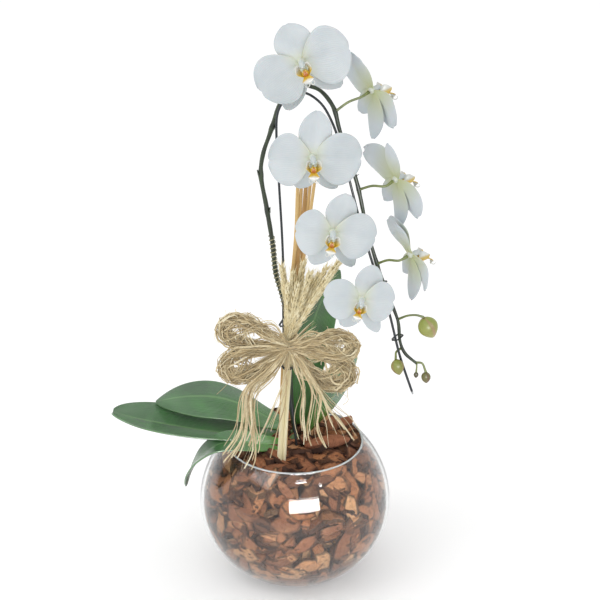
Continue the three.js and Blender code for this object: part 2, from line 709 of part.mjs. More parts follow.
// Flat golden straws behind the wheat and its straws: each tip's x and z, and its half width
const GOLD_STRAWS = [
  [3.6, 458, 1.8], [8, 466, 1.7], [13.4, 470, 2], [18.4, 474, 1.6], [22.6, 468, 1.6],
];
const goldStraws = GOLD_STRAWS.map(([x, top, half], i) => {
  const foot = point(-14.2 + i * 1.4, -30 + (i % 2) * 1.1, 124);
  const waist = point(-9.5 + i * 1.6, -22.5 + (i % 2) * 1.1, 262);
  const shoulder = point((x - 2) * 0.55, -19 + (i % 2), 380);
  const path = smoothPath([foot, waist, shoulder, point(x, -17, top)]);
  return toSolid(bladeGeometry(1, 4, 1.4, (u, v) => {
    const width = v < 0.5 ? 1.9 : half;
    return path.getPoint(v).add(point(u * width, 0, 0));
  }));
});
addMesh('gold_straws', mainBody(fuse(goldStraws)), FINISH.straw);

// Dark wire twisted round the straws below the bow
const BINDING_HEIGHT = 253.2;
function makeBinding() {
  const centre = point(-6.4, -34.6, BINDING_HEIGHT);
  const turns = 2;
  const route = [];
  for (let i = 0; i <= 20; i += 1) {
    const turn = (i / 20) * turns * Math.PI * 2 + Math.PI / 2;
    const radius = BUNDLE_RADIUS + GAP + 1.5;
    route.push(centre.clone().add(point(
      radius * Math.cos(turn),
      radius * Math.sin(turn) * 0.98,
      -2 + (4 * i) / 20,
    )));
  }
  return stem(route, 0.7, 0.7, 3, 22);
}
const bundleSpace = makeBundle(BUNDLE_RADIUS + GAP, false);
addMesh('binding_wire', mainBody(makeBinding()), FINISH.wire);

// Raffia bow: flat strands in four loops, a knot round the bundle, and hanging tails
const BOW_HEART = point(-5.2, -44.5, 280);
const STRAND_HALF = 3.4;
const LOOPS = [
  { end: [-70, 27], half: 19, depth: -7 },
  { end: [-70, -24], half: 19, depth: -11 },
  { end: [69, 4], half: 17, depth: -9 },
  { end: [64, -38], half: 22, depth: -6 },
];
const LOOP_SHARES = [1, 0.62, 0.24];
const TAIL_HALF = 2.8;

function strandBody(route, half, along, widthAt) {
  const path = smoothPath(route);
  const side = point(0, 0, 0);
  return toSolid(bladeGeometry(1, along, RAFFIA_THICKNESS, (u, v) => {
    const share = THREE.MathUtils.clamp(v, 0, 1);
    const spot = path.getPointAt(share);
    side.copy(path.getTangentAt(share)).cross(point(0, 1, 0)).normalize();
    return spot.addScaledVector(side, u * half * widthAt(v));
  }));
}

// One strand of a loop: out along one edge of a drop shape, round its end and back
function loopStrand({ end, half, depth }, share, order) {
  const outward = point(end[0], 0, end[1]);
  const reach = outward.length() * (0.8 + 0.2 * share) - STRAND_HALF;
  outward.normalize();
  const sideways = point(-outward.z, 0, outward.x);
  const spots = [
    [0.02, 0.1, 0], [0.4, 0.62, 0.6], [0.76, 0.98, 1], [0.96, 0.62, 0.8], [1, 0, 0.6],
    [0.95, -0.62, 0.5], [0.76, -0.98, 0.4], [0.4, -0.62, 0.3], [0.02, -0.1, 0],
  ];
  const route = spots.map(([out, aside, forward]) => BOW_HEART.clone()
    .addScaledVector(outward, out * reach)
    .addScaledVector(sideways, aside * (half - STRAND_HALF) * share)
    .add(point(0, forward * depth - order * 1.6, 0)));
  return strandBody(route, STRAND_HALF, 10, (v) => 0.4 + 0.6 * Math.sin(Math.PI * v) ** 0.7);
}

const strands = [];
LOOPS.forEach((loop) => {
  LOOP_SHARES.forEach((share, order) => strands.push(loopStrand(loop, share, order)));
});

const TAILS = [
  [[-24, -52, 262], [-47, -60, 241], [-56, -72, 198], [-80, -70, 160]],
  [[-22, -54, 260], [-44, -61, 240], [-50, -75, 196], [-66, -72, 160]],
  [[-20, -53, 258], [-42, -62, 238], [-44, -77, 190], [-55, -78, 159]],
  [[-18, -52, 256], [-38, -60, 235], [-36, -73, 190], [-42, -76, 162]],
  [[-8, -50, 255], [-16, -55, 222], [-28, -63, 192], [-34, -66, 170]],
  [[2, -52, 262], [6, -58, 240], [4, -60, 205], [8, -62, 172]],
  [[8, -52, 262], [20, -60, 238], [18, -66, 200], [24, -66, 176]],
  [[12, -52, 258], [26, -62, 232], [38, -64, 200], [44, -66, 178]],
  [[14, -54, 256], [34, -64, 226], [50, -64, 206], [62, -66, 184]],
];
TAILS.forEach((route) => {
  const spots = route.map((spot) => point(...spot));
  strands.push(strandBody([BOW_HEART.clone(), ...spots], TAIL_HALF, 5, (v) => 0.4 + 0.6 * v));
});
const KNOT_RING = { middle: [-5.5, -34.2, 280], radius: 7.4, thickness: 2.2, tallness: 2.3 };
const KNOT_FACE_RADII = [9, 5, 8.5];
const knotRing = new THREE.TorusGeometry(KNOT_RING.radius, KNOT_RING.thickness, 4, 9);
knotRing.scale(1, 1, KNOT_RING.tallness);
knotRing.translate(...KNOT_RING.middle);
const knotFace = new THREE.SphereGeometry(1, 7, 5);
knotFace.scale(...KNOT_FACE_RADII);
knotFace.translate(...BOW_HEART.toArray());
const raffia = fuse([toSolid(knotRing), toSolid(knotFace), ...strands])
  .subtract(bundleSpace);
addMesh('raffia_bow', mainBody(raffia), FINISH.raffia);

// Bark chips: a filled core with flat chips pressed against the glass and heaped on top
const CORE_CLEARANCE = 5;
function coreGeometry() {
  const profile = [new THREE.Vector2(0, GLASS_FLOOR + 4)];
  const bands = 4;
  for (let i = 0; i <= bands; i += 1) {
    const height = THREE.MathUtils.lerp(GLASS_FLOOR + 4, BARK_TOP - 2, i / bands);
    profile.push(new THREE.Vector2(insideRadius(height) - CORE_CLEARANCE, height));
  }
  profile.push(new THREE.Vector2(0, BARK_TOP));
  const core = new THREE.LatheGeometry(profile, 12);
  core.rotateX(90 * DEGREE);
  return core;
}

// Pulls a corner of a chip back inside the glass
function pressInside(corner) {
  const floor = GLASS_FLOOR + GAP + 0.3;
  if (corner.z < floor) corner.z = floor;
  const limit = insideRadius(Math.min(corner.z, RIM_HEIGHT)) - GAP;
  const reach = Math.hypot(corner.x, corner.y);
  if (reach > limit) {
    corner.x *= limit / reach;
    corner.y *= limit / reach;
  }
}

const chipDraw = drawer(5);
function chipSolid(spot, outward, tilt, size) {
  const corners = 4;
  const shape = new THREE.Shape();
  for (let k = 0; k < corners; k += 1) {
    const turn = (k / corners) * Math.PI * 2;
    const reach = (CHIP_LENGTH / 2) * size * chipDraw(0.8, 1.15);
    const x = reach * Math.cos(turn);
    const y = reach * 0.62 * Math.sin(turn);
    if (k === 0) shape.moveTo(x, y);
    else shape.lineTo(x, y);
  }
  shape.closePath();
  const depth = CHIP_THICKNESS * chipDraw(0.75, 1.25);
  const chip = new THREE.ExtrudeGeometry(shape, { depth, bevelEnabled: false });
  chip.translate(0, 0, -depth / 2);
  chip.rotateZ(chipDraw(0, Math.PI * 2));
  chip.rotateX(chipDraw(-tilt, tilt) * DEGREE);
  chip.rotateY(chipDraw(-tilt, tilt) * DEGREE);
  chip.applyQuaternion(new THREE.Quaternion().setFromUnitVectors(point(0, 0, 1), outward));
  chip.translate(spot.x, spot.y, spot.z);
  const position = chip.attributes.position;
  const corner = new THREE.Vector3();
  for (let i = 0; i < position.count; i += 1) {
    corner.fromBufferAttribute(position, i);
    pressInside(corner);
    position.setXYZ(i, corner.x, corner.y, corner.z);
  }
  return toSolid(chip);
}

const WALL_CHIPS = 48;
const TOP_CHIPS = 18;
const GOLDEN_TURN = Math.PI * (3 - Math.sqrt(5));
const chips = [toSolid(coreGeometry())];
for (let i = 0; i < WALL_CHIPS; i += 1) {
  const height = THREE.MathUtils.lerp(12, 143, (i + 0.5) / WALL_CHIPS);
  const radius = insideRadius(height) - 4.2;
  const turn = i * GOLDEN_TURN;
  const spot = point(radius * Math.cos(turn), radius * Math.sin(turn), height);
  const outward = point(spot.x, spot.y, height - BOWL_EQUATOR).normalize();
  chips.push(chipSolid(spot, outward, 10, chipDraw(1.1, 1.35)));
}
for (let i = 0; i < TOP_CHIPS; i += 1) {
  const radius = 60 * Math.sqrt((i + 0.5) / TOP_CHIPS);
  const turn = i * GOLDEN_TURN + 1;
  const spot = point(radius * Math.cos(turn), radius * Math.sin(turn), BARK_TOP + chipDraw(0, 3));
  chips.push(chipSolid(spot, point(0, 0, 1), 24, chipDraw(0.85, 1.2)));
}

// The hole that the golden straws stand in
const GOLD_HOLE = [point(-11.4, -29.5, 123), point(-10.4, -27.8, 158), point(-7.4, -24, 230)];
const GOLD_HOLE_RADIUS = 6.6;
const holes = [
  toSolid(crownGeometry(GAP)),
  spikeHole,
  bundleSpace,
  footSpace(bundlePath, BUNDLE_RADIUS, 0.4),
  stem(GOLD_HOLE, GOLD_HOLE_RADIUS, GOLD_HOLE_RADIUS, 6, 3),
  footSpace(wirePath, WIRE_RADIUS, 0.26),
  ...leafBodies,
];
const bark = holes.reduce((body, hole) => body.subtract(hole), fuse(chips));
addMesh('bark_chips', mainBody(bark), FINISH.bark);

export default part;
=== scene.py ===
"""A white moth orchid in a clear glass fish bowl of bark chips, with wheat and a raffia bow."""

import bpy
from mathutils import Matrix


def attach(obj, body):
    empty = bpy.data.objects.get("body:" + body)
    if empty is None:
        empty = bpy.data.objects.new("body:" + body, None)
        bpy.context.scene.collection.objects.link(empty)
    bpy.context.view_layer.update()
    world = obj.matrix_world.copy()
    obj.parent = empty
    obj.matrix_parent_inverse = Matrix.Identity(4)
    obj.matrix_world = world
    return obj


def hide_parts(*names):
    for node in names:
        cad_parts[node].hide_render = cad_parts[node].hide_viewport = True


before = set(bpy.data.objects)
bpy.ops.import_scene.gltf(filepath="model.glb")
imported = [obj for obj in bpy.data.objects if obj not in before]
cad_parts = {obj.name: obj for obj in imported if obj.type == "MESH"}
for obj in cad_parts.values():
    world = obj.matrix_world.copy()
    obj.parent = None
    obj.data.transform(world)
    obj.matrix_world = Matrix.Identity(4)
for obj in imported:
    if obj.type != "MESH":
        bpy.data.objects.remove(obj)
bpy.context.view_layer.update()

import logging
import math
import random
from dataclasses import dataclass, field
from enum import Enum
from typing import Callable, Iterable, Sequence

import bmesh
import bpy
from mathutils import Matrix, Vector, noise

LOG = logging.getLogger("orchid")
MM = 0.001
BODY = "root"
NOISE_SEED = 7
GOLDEN_TURN = math.pi * (3 - math.sqrt(5))
UP = Vector((0, 0, 1))
TO_METRES = Matrix.Scale(MM, 4)
TO_MILLIMETRES = Matrix.Scale(1 / MM, 4)
Place = Callable[[float, float], Vector]
Colour = tuple[float, float, float, float]
Triple = tuple[float, float, float]
Mesh = bmesh.types.BMesh
Socket = bpy.types.NodeSocket
Material = bpy.types.Material


def paint(red: int, green: int, blue: int) -> Colour:
    """Turns a colour in screen steps into the shader's linear one.

    Args:
        red: Red from 0 to 255.
        green: Green from 0 to 255.
        blue: Blue from 0 to 255.

    Returns:
        The linear colour with an alpha of 1.
    """
    def linear(step: int) -> float:
        """One channel, linear."""
        share = step / 255
        return share / 12.92 if share <= 0.04045 else ((share + 0.055) / 1.055) ** 2.4

    return (linear(red), linear(green), linear(blue), 1.0)


def blend(first: Colour, second: Colour, share: float) -> Colour:
    """Mixes two colours, with share 0 giving the first."""
    kept = min(max(share, 0.0), 1.0)
    return tuple(a + (b - a) * kept for a, b in zip(first, second))


class Recipe:
    """A material's shader nodes while they are put together."""

    MIX_SHARE = 0
    MIX_COLOURS = (6, 7)
    MIX_RESULT = 2

    def __init__(self, name: str, roughness: float, **sockets: float | Colour) -> None:
        """Starts a material on one principled shader.

        Args:
            name: The material's name.
            roughness: The shader's roughness.
            **sockets: Further constants by socket name, with _ for a space.
        """
        self.material = bpy.data.materials.new(name)
        self.material.use_nodes = True
        self.tree = self.material.node_tree
        self.tree.nodes.clear()
        output = self._node("OutputMaterial")
        self.shader = self._node("BsdfPrincipled", Roughness=roughness, **sockets)
        self._join(self.shader.outputs["BSDF"], output.inputs["Surface"])
        self.coordinates = self._node("TexCoord")

    def _node(self, kind: str, **sockets: float | Sequence[float]) -> bpy.types.Node:
        """Adds a node with constants by socket name, with _ for a space."""
        node = self.tree.nodes.new("ShaderNode" + kind)
        for socket, value in sockets.items():
            node.inputs[socket.replace("_", " ")].default_value = value
        return node

    def _join(self, source: Socket, target: Socket) -> None:
        """Leads a value into a socket."""
        self.tree.links.new(source, target)

    def place(self, stretch: Sequence[float] = (1, 1, 1), on_uv: bool = False) -> Socket:
        """Gives the pattern's coordinates, stretched along the axes."""
        mapping = self._node("Mapping", Scale=stretch)
        self._join(self.coordinates.outputs["UV" if on_uv else "Object"], mapping.inputs["Vector"])
        return mapping.outputs["Vector"]

    def noise(self, where: Socket, scale: float, detail: float = 3, distortion: float = 0) -> Socket:
        """Adds a cloud pattern and returns its value."""
        node = self._node("TexNoise", Scale=scale, Detail=detail, Distortion=distortion)
        self._join(where, node.inputs["Vector"])
        return node.outputs["Fac"]

    def bands(self, where: Socket, scale: float, distortion: float) -> Socket:
        """Adds a pattern of parallel bands across X and returns its value."""
        node = self._node("TexWave", Scale=scale, Distortion=distortion, Detail=2, Detail_Scale=1.5)
        self._join(where, node.inputs["Vector"])
        return node.outputs["Fac"]

    def stored(self, name: str, output: str = "Fac") -> Socket:
        """Reads a number, or with Color a colour, that is stored on the mesh."""
        node = self._node("Attribute")
        node.attribute_name = name
        return node.outputs[output]

    def per_piece(self) -> Socket:
        """Gives each loose strand or chip a number of its own."""
        return self._node("NewGeometry").outputs["Random Per Island"]

    def ramp(self, value: Socket, stops: Iterable[tuple[float, Colour]]) -> Socket:
        """Turns a value into a colour between the stops."""
        node = self._node("ValToRGB")
        elements = node.color_ramp.elements
        for index, (spot, colour) in enumerate(stops):
            element = elements[index] if index < 2 else elements.new(spot)
            element.position = spot
            element.color = colour
        self._join(value, node.inputs["Fac"])
        return node.outputs["Color"]

    def part(self, value: Socket, low: float, high: float, factor: float = 1) -> Socket:
        """Stretches the values between low and high to the range from 0 to a factor."""
        node = self._node("MapRange", From_Min=low, From_Max=high, To_Max=factor)
        self._join(value, node.inputs["Value"])
        return node.outputs["Result"]

    def mix(self, share: Socket, first: Socket | Colour, second: Socket | Colour) -> Socket:
        """Mixes two colours by a value."""
        node = self._node("Mix")
        node.data_type = "RGBA"
        self._join(share, node.inputs[self.MIX_SHARE])
        for source, index in zip((first, second), self.MIX_COLOURS):
            if isinstance(source, tuple):
                node.inputs[index].default_value = source
            else:
                self._join(source, node.inputs[index])
        return node.outputs[self.MIX_RESULT]

    def colour(self, source: Socket) -> None:
        """Sets what colours the surface."""
        self._join(source, self.shader.inputs["Base Color"])

    def rough(self, source: Socket, low: float, high: float) -> None:
        """Lets a value move the roughness between low and high."""
        node = self._node("MapRange", To_Min=low, To_Max=high)
        self._join(source, node.inputs["Value"])
        self._join(node.outputs["Result"], self.shader.inputs["Roughness"])

    def bump(self, height: Socket, strength: float, depth_mm: float) -> None:
        """Raises the surface by a value.

        Args:
            height: The value that raises it.
            strength: How strongly it shows.
            depth_mm: The depth between 0 and 1, in millimetres.
        """
        node = self._node("Bump", Strength=strength, Distance=depth_mm * MM)
        self._join(height, node.inputs["Height"])
        self._join(node.outputs["Normal"], self.shader.inputs["Normal"])


@dataclass(frozen=True)
class PetalFinish:
    """Cool white petals, cream green at the heart, with faint veins, soft grey patches of painted shade and
    greenish backs.
    """

    name: str = "petal_skin"
    white: Colour = paint(208, 215, 218)
    vein: Colour = paint(188, 198, 203)
    heart: Colour = paint(216, 219, 190)
    back: Colour = paint(199, 207, 212)
    back_green: Colour = paint(188, 194, 142)

    def material(self) -> Material:
        """Makes the material."""
        recipe = Recipe(self.name, 0.5, Specular_IOR_Level=0.3, Subsurface_Weight=0.06,
                        Subsurface_Scale=0.002, Sheen_Weight=0.08, Sheen_Roughness=0.4)
        veins = recipe.bands(recipe.place((1, 0.12, 1), on_uv=True), 9, 3.5)
        # Painted shade: soft grey cloud patches stand in for the shading of the petal's folds.
        cloud = recipe.noise(recipe.place(), 60, 3)
        front = recipe.mix(recipe.part(veins, 0.5, 1, 0.4), self.white, self.vein)
        front = recipe.mix(recipe.part(cloud, 0.35, 0.7, 0.5), front, self.vein)
        front = recipe.mix(recipe.stored("foot"), front, self.heart)
        behind = recipe.mix(recipe.stored("root"), self.back, self.back_green)
        recipe.colour(recipe.mix(recipe.stored("back"), front, behind))
        recipe.bump(veins, 0.25, 0.3)
        return recipe.material


@dataclass(frozen=True)
class PaintedFinish:
    """A waxy skin whose colours are stored on the mesh, with fine speckles."""

    name: str
    speckle: Colour
    roughness: float = 0.4
    share: float = 0.3

    def material(self) -> Material:
        """Makes the material."""
        recipe = Recipe(self.name, self.roughness, Coat_Weight=0.15, Coat_Roughness=0.3)
        speckles = recipe.noise(recipe.place(), 900, 2)
        share = recipe.part(speckles, 0.5, 0.75, self.share)
        recipe.colour(recipe.mix(share, recipe.stored("tint", "Color"), self.speckle))
        recipe.bump(recipe.noise(recipe.place(), 1400, 2), 0.25, 0.15)
        return recipe.material


@dataclass(frozen=True)
class LeafFinish:
    """A thick glossy leaf with a pale midrib, fine parallel veins and a dull underside."""

    name: str = "leaf_skin"
    deep: Colour = paint(22, 80, 26)
    light: Colour = paint(52, 124, 42)
    rib: Colour = paint(120, 168, 96)
    fresh: Colour = paint(92, 168, 30)
    under: Colour = paint(108, 134, 110)

    def material(self) -> Material:
        """Makes the material."""
        recipe = Recipe(self.name, 0.34, Specular_IOR_Level=0.9, Coat_Weight=0.8, Coat_Roughness=0.2)
        veins = recipe.bands(recipe.place((1, 0.03, 1), on_uv=True), 11, 2.2)
        cloud = recipe.noise(recipe.place(), 38, 4, 0.4)
        skin = recipe.ramp(cloud, [(0.3, self.deep), (0.72, self.light)])
        skin = recipe.mix(recipe.part(veins, 0.4, 1, 0.35), skin, self.light)
        skin = recipe.mix(recipe.stored("rib"), skin, self.rib)
        skin = recipe.mix(recipe.stored("fresh"), skin, self.fresh)
        recipe.colour(recipe.mix(recipe.stored("back"), skin, self.under))
        recipe.rough(veins, 0.16, 0.44)
        recipe.bump(veins, 0.6, 0.6)
        return recipe.material


@dataclass(frozen=True)
class StemFinish:
    """A stem's skin, mottled between two greens along its length."""

    name: str
    dark: Colour
    green: Colour
    roughness: float = 0.42

    def material(self) -> Material:
        """Makes the material."""
        recipe = Recipe(self.name, self.roughness, Coat_Weight=0.1, Coat_Roughness=0.35)
        mottle = recipe.noise(recipe.place((1, 1, 0.3)), 260, 4, 0.6)
        streak = recipe.noise(recipe.place((1, 1, 0.08)), 1500, 2)
        skin = recipe.ramp(mottle, [(0.35, self.dark), (0.68, self.green)])
        recipe.colour(recipe.mix(recipe.part(streak, 0, 1, 0.3), skin, self.dark))
        recipe.rough(mottle, self.roughness - 0.08, self.roughness + 0.12)
        recipe.bump(streak, 0.3, 0.2)
        return recipe.material


@dataclass(frozen=True)
class FibreFinish:
    """Dry plant fibre: each strand its own shade, streaked and a little rough."""

    name: str
    shades: tuple[Colour, Colour, Colour]
    streak: Colour
    stretch: Triple = (1, 1, 0.1)
    scale: float = 1300
    roughness: float = 0.72
    sheen: float = 0.15

    def material(self) -> Material:
        """Makes the material."""
        recipe = Recipe(self.name, self.roughness, Specular_IOR_Level=0.35, Sheen_Weight=self.sheen,
                        Sheen_Roughness=0.5)
        dark, middle, light = self.shades
        own = recipe.ramp(recipe.per_piece(), [(0.0, dark), (1.0, light), (0.5, middle)])
        streaks = recipe.noise(recipe.place(self.stretch), self.scale, 3, 0.3)
        patches = recipe.noise(recipe.place(), 120, 3)
        shade = recipe.mix(recipe.part(streaks, 0.48, 0.8, 0.55), own, self.streak)
        shade = recipe.mix(recipe.part(patches, 0.5, 0.8, 0.4), shade, middle)
        recipe.colour(shade)
        recipe.rough(streaks, self.roughness - 0.1, self.roughness + 0.12)
        recipe.bump(streaks, 0.5, 0.3)
        return recipe.material


@dataclass(frozen=True)
class BarkFinish:
    """Dry bark: each chip from dark red brown to tan, with grain, flakes, dark pits and painted shade along
    its borders.
    """

    name: str = "bark_skin"
    shades: tuple[Colour, ...] = (
        paint(84, 54, 40), paint(124, 80, 56), paint(154, 100, 70), paint(182, 120, 78),
        paint(212, 166, 122),
    )
    grain: Colour = paint(104, 66, 42)
    flake: Colour = paint(190, 140, 98)
    pit: Colour = paint(66, 40, 26)
    # The colour of the painted shade at each chip's border, where the gaps between chips lie in shadow.
    gap: Colour = paint(44, 26, 18)

    def material(self) -> Material:
        """Makes the material."""
        recipe = Recipe(self.name, 0.86, Specular_IOR_Level=0.25)
        darkest, dark, middle, light, lightest = self.shades
        own = recipe.ramp(recipe.per_piece(), [
            (0.0, darkest), (1.0, lightest), (0.18, dark), (0.5, middle), (0.82, light),
        ])
        grain = recipe.noise(recipe.place(), 240, 5, 1.4)
        fine = recipe.noise(recipe.place(), 1100, 4, 0.5)
        flakes = recipe.noise(recipe.place(), 70, 3, 0.8)
        skin = recipe.mix(recipe.part(grain, 0.46, 0.68, 0.55), own, self.grain)
        skin = recipe.mix(recipe.part(flakes, 0.55, 0.75, 0.45), skin, self.flake)
        skin = recipe.mix(recipe.part(fine, 0.58, 0.72, 0.6), skin, self.pit)
        # Painted shade: the stored edge value darkens each chip towards its border, standing in for the
        # shadow in the gaps.
        recipe.colour(recipe.mix(recipe.stored("edge"), skin, self.gap))
        recipe.rough(grain, 0.72, 0.95)
        recipe.bump(grain, 0.8, 1.2)
        return recipe.material


@dataclass(frozen=True)
class PlainFinish:
    """Plastic or coated wire with a faint mottle."""

    name: str
    base: Colour
    worn: Colour
    roughness: float = 0.4

    def material(self) -> Material:
        """Makes the material."""
        recipe = Recipe(self.name, self.roughness)
        mottle = recipe.noise(recipe.place(), 700, 3)
        recipe.colour(recipe.mix(recipe.part(mottle, 0.5, 0.85), self.base, self.worn))
        recipe.rough(mottle, self.roughness - 0.1, self.roughness + 0.15)
        recipe.bump(mottle, 0.15, 0.1)
        return recipe.material


@dataclass(frozen=True)
class GlassFinish:
    """Blown glass, clear or a little milky."""

    name: str = "clear_glass"
    clearness: float = 1.0
    roughness: float = 0.0
    tint: Colour = (0.97, 0.985, 0.985, 1)
    bending: float = 1.45

    def material(self) -> Material:
        """Makes the material."""
        return Recipe(self.name, self.roughness, Transmission_Weight=self.clearness,
                      IOR=self.bending, Base_Color=self.tint).material


class Finishes:
    """Every material of the object, made once."""

    def __init__(self) -> None:
        """Makes the materials."""
        self.petal = PetalFinish().material()
        self.lip = PaintedFinish("lip_skin", paint(196, 96, 24), 0.35, 0.18).material()
        self.bud = PaintedFinish("bud_skin", paint(120, 130, 60), 0.42, 0.35).material()
        self.leaf = LeafFinish().material()
        self.crown = StemFinish("crown_skin", paint(60, 90, 40), paint(110, 140, 66)).material()
        self.spike = StemFinish("spike_skin", paint(34, 42, 32), paint(58, 76, 44)).material()
        self.pedicel = StemFinish("pedicel_skin", paint(104, 116, 62), paint(148, 158, 92)).material()
        self.wheat = FibreFinish(
            "wheat_skin", (paint(222, 206, 162), paint(236, 224, 184), paint(246, 238, 208)),
            paint(204, 182, 134), (1, 1, 0.25), 1500).material()
        self.bundle = FibreFinish(
            "bundle_straw", (paint(234, 218, 168), paint(244, 234, 190), paint(250, 242, 212)),
            paint(214, 192, 138), (1, 1, 0.04), 1200, 0.5).material()
        self.gold = FibreFinish(
            "gold_straw_skin", (paint(176, 134, 78), paint(202, 162, 100), paint(222, 188, 128)),
            paint(150, 106, 56), (1, 1, 0.03), 1200, 0.45).material()
        self.raffia = FibreFinish(
            "raffia_fibre", (paint(188, 166, 126), paint(222, 204, 162), paint(246, 236, 204)),
            paint(152, 126, 88), (0.5, 1, 1), 900, 0.74, 0.25).material()
        self.twine = FibreFinish(
            "twine_fibre", (paint(140, 136, 108), paint(168, 162, 130), paint(190, 184, 150)),
            paint(120, 116, 92), (1, 1, 1), 1600, 0.85).material()
        # Painted highlight: the rim bead's milky white glass stands in for the bright line of light along
        # the rim.
        self.rim = GlassFinish("rim_highlight_glass", 0.4, 0.05, paint(246, 250, 250)).material()
        self.bark = BarkFinish().material()
        self.bark_log = BarkFinish("bark_log_skin", 5 * (paint(164, 106, 76),)).material()
        # Painted shade: a dark brown for the heart of the heap, seen through the gaps between chips.
        self.painted_shade_core = PlainFinish("painted_shade_core", paint(58, 36, 26), paint(84, 54, 40), 0.9).material()
        self.wire = PlainFinish("coated_wire", paint(26, 34, 42), paint(58, 68, 70), 0.35).material()
        self.steel = PlainFinish("cut_wire", paint(176, 178, 180), paint(205, 206, 208), 0.3).material()
        self.clip = PlainFinish("clip_plastic_skin", paint(24, 34, 30), paint(44, 56, 48), 0.42).material()
        self.glass = GlassFinish().material()


class Route:
    """A smooth line through points, in millimetres, measured along its length."""

    SPAN_STEPS = 14

    def __init__(self, points: Sequence[Sequence[float]]) -> None:
        """Draws the line.

        Args:
            points: The points it runs through.
        """
        spots = [Vector(spot) for spot in points]
        padded = [2 * spots[0] - spots[1], *spots, 2 * spots[-1] - spots[-2]]
        self.line = [spots[0]]
        for index in range(len(spots) - 1):
            self.line += self._span(*padded[index:index + 4])
        self.marks = [0.0]
        for here, there in zip(self.line, self.line[1:]):
            self.marks.append(self.marks[-1] + (there - here).length)
        self.length = self.marks[-1]

    def _span(self, before: Vector, start: Vector, end: Vector, after: Vector) -> list[Vector]:
        """Draws one centripetal stretch between two points."""
        first, own, last = [max((b - a).length, 1e-4) ** 0.5
                            for a, b in ((before, start), (start, end), (end, after))]
        lead = (start - before) / first - (end - before) / (first + own) + (end - start) / own
        tail = (end - start) / own - (after - start) / (own + last) + (after - end) / last
        lead, tail = lead * own, tail * own
        spots = []
        for step in range(1, self.SPAN_STEPS + 1):
            t = step / self.SPAN_STEPS
            spots.append(start + lead * t + (3 * (end - start) - 2 * lead - tail) * t ** 2
                         + (2 * (start - end) + lead + tail) * t ** 3)
        return spots

    def at(self, share: float) -> Vector:
        """Gives the point at a share of the length."""
        wanted = min(max(share, 0.0), 1.0) * self.length
        low, high = 0, len(self.marks) - 1
        while high - low > 1:
            middle = (low + high) // 2
            if self.marks[middle] <= wanted:
                low = middle
            else:
                high = middle
        gap = self.marks[high] - self.marks[low]
        return self.line[low].lerp(self.line[high], (wanted - self.marks[low]) / gap if gap else 0)

    def heading(self, share: float) -> Vector:
        """Gives the direction at a share of the length."""
        return (self.at(min(share + 0.004, 1)) - self.at(max(share - 0.004, 0))).normalized()

    def spots(self, count: int, start: float = 0.0, end: float = 1.0) -> list[Vector]:
        """Gives evenly spaced points from one share to another."""
        return [self.at(start + (end - start) * i / (count - 1)) for i in range(count)]

    def nearest(self, spot: Vector) -> Vector:
        """Gives the point of the line that is closest to a spot."""
        return min(self.line, key=lambda here: (here - spot).length)


class Section(Enum):
    """What a strand looks like when it is cut across."""

    ROUND = "round"
    FLAT = "flat"


class Strands:
    """Round stems or flat fibres, drawn as the splines of one curve and made one mesh."""

    FLAT_HALF_THICKNESS = 0.16 * MM
    FLAT_HALF_WIDTH = 0.84 * MM
    WELD = 0.004 * MM

    def __init__(self, name: str, section: Section = Section.ROUND, smoothness: int = 2) -> None:
        """Starts with no strands.

        Args:
            name: The name of the curve.
            section: Round or flat.
            smoothness: How finely the section is rounded.
        """
        self.curve = bpy.data.curves.new(name, "CURVE")
        self.curve.dimensions = "3D"
        self.curve.twist_mode = "MINIMUM"
        self.curve.use_fill_caps = True
        self.curve.bevel_resolution = smoothness
        self.curve.bevel_depth = MM
        if section is Section.FLAT:
            self.curve.bevel_depth = self.FLAT_HALF_THICKNESS
            self.curve.extrude = self.FLAT_HALF_WIDTH

    def add(self, spots: Sequence[Vector], radii: Sequence[float] | float, tilt: float = 0.0,
            twist: float = 0.0, closed: bool = False) -> None:
        """Adds a strand.

        Args:
            spots: The points it runs through, in millimetres.
            radii: Its radius or half width at each point, in millimetres, or one for all.
            tilt: How far its section is turned.
            twist: How far it turns from its start to its end.
            closed: Whether its ends meet.
        """
        spline = self.curve.splines.new("POLY")
        spline.points.add(len(spots) - 1)
        spline.use_cyclic_u = closed
        for index, (point, spot) in enumerate(zip(spline.points, spots)):
            point.co = (*(spot * MM), 1.0)
            point.radius = radii if isinstance(radii, (int, float)) else radii[index]
            point.tilt = tilt + twist * index / max(len(spots) - 1, 1)

    def bmesh(self) -> Mesh:
        """Turns the strands into a mesh and throws the curve away."""
        drawing = bpy.data.objects.new(self.curve.name + "_drawing", self.curve)
        bpy.context.scene.collection.objects.link(drawing)
        evaluated = drawing.evaluated_get(bpy.context.evaluated_depsgraph_get())
        mesh = bpy.data.meshes.new_from_object(evaluated)
        bm = bmesh.new()
        bm.from_mesh(mesh)
        bmesh.ops.remove_doubles(bm, verts=bm.verts, dist=self.WELD)
        bpy.data.objects.remove(drawing)
        bpy.data.curves.remove(self.curve)
        bpy.data.meshes.remove(mesh)
        bmesh.ops.recalc_face_normals(bm, faces=bm.faces)
        return bm


def moved(bm: Mesh, matrix: Matrix = TO_METRES) -> Mesh:
    """Moves every point of a mesh, by default from millimetres to metres, and returns it."""
    bmesh.ops.transform(bm, matrix=matrix, verts=bm.verts)
    return bm


def turned(bm: Mesh, degrees: float, axis: str) -> Mesh:
    """Turns a mesh about an axis through its origin and returns it."""
    return moved(bm, Matrix.Rotation(math.radians(degrees), 4, axis))


def around(radius: float, turn: float, height: float = 0.0) -> Vector:
    """Gives a point by its distance from the upright axis, its angle and its height."""
    return Vector((radius * math.cos(turn), radius * math.sin(turn), height))


def aim(way: Vector) -> Matrix:
    """Gives the matrix that turns what points up so that it points another way."""
    return UP.rotation_difference(way).to_matrix().to_4x4()


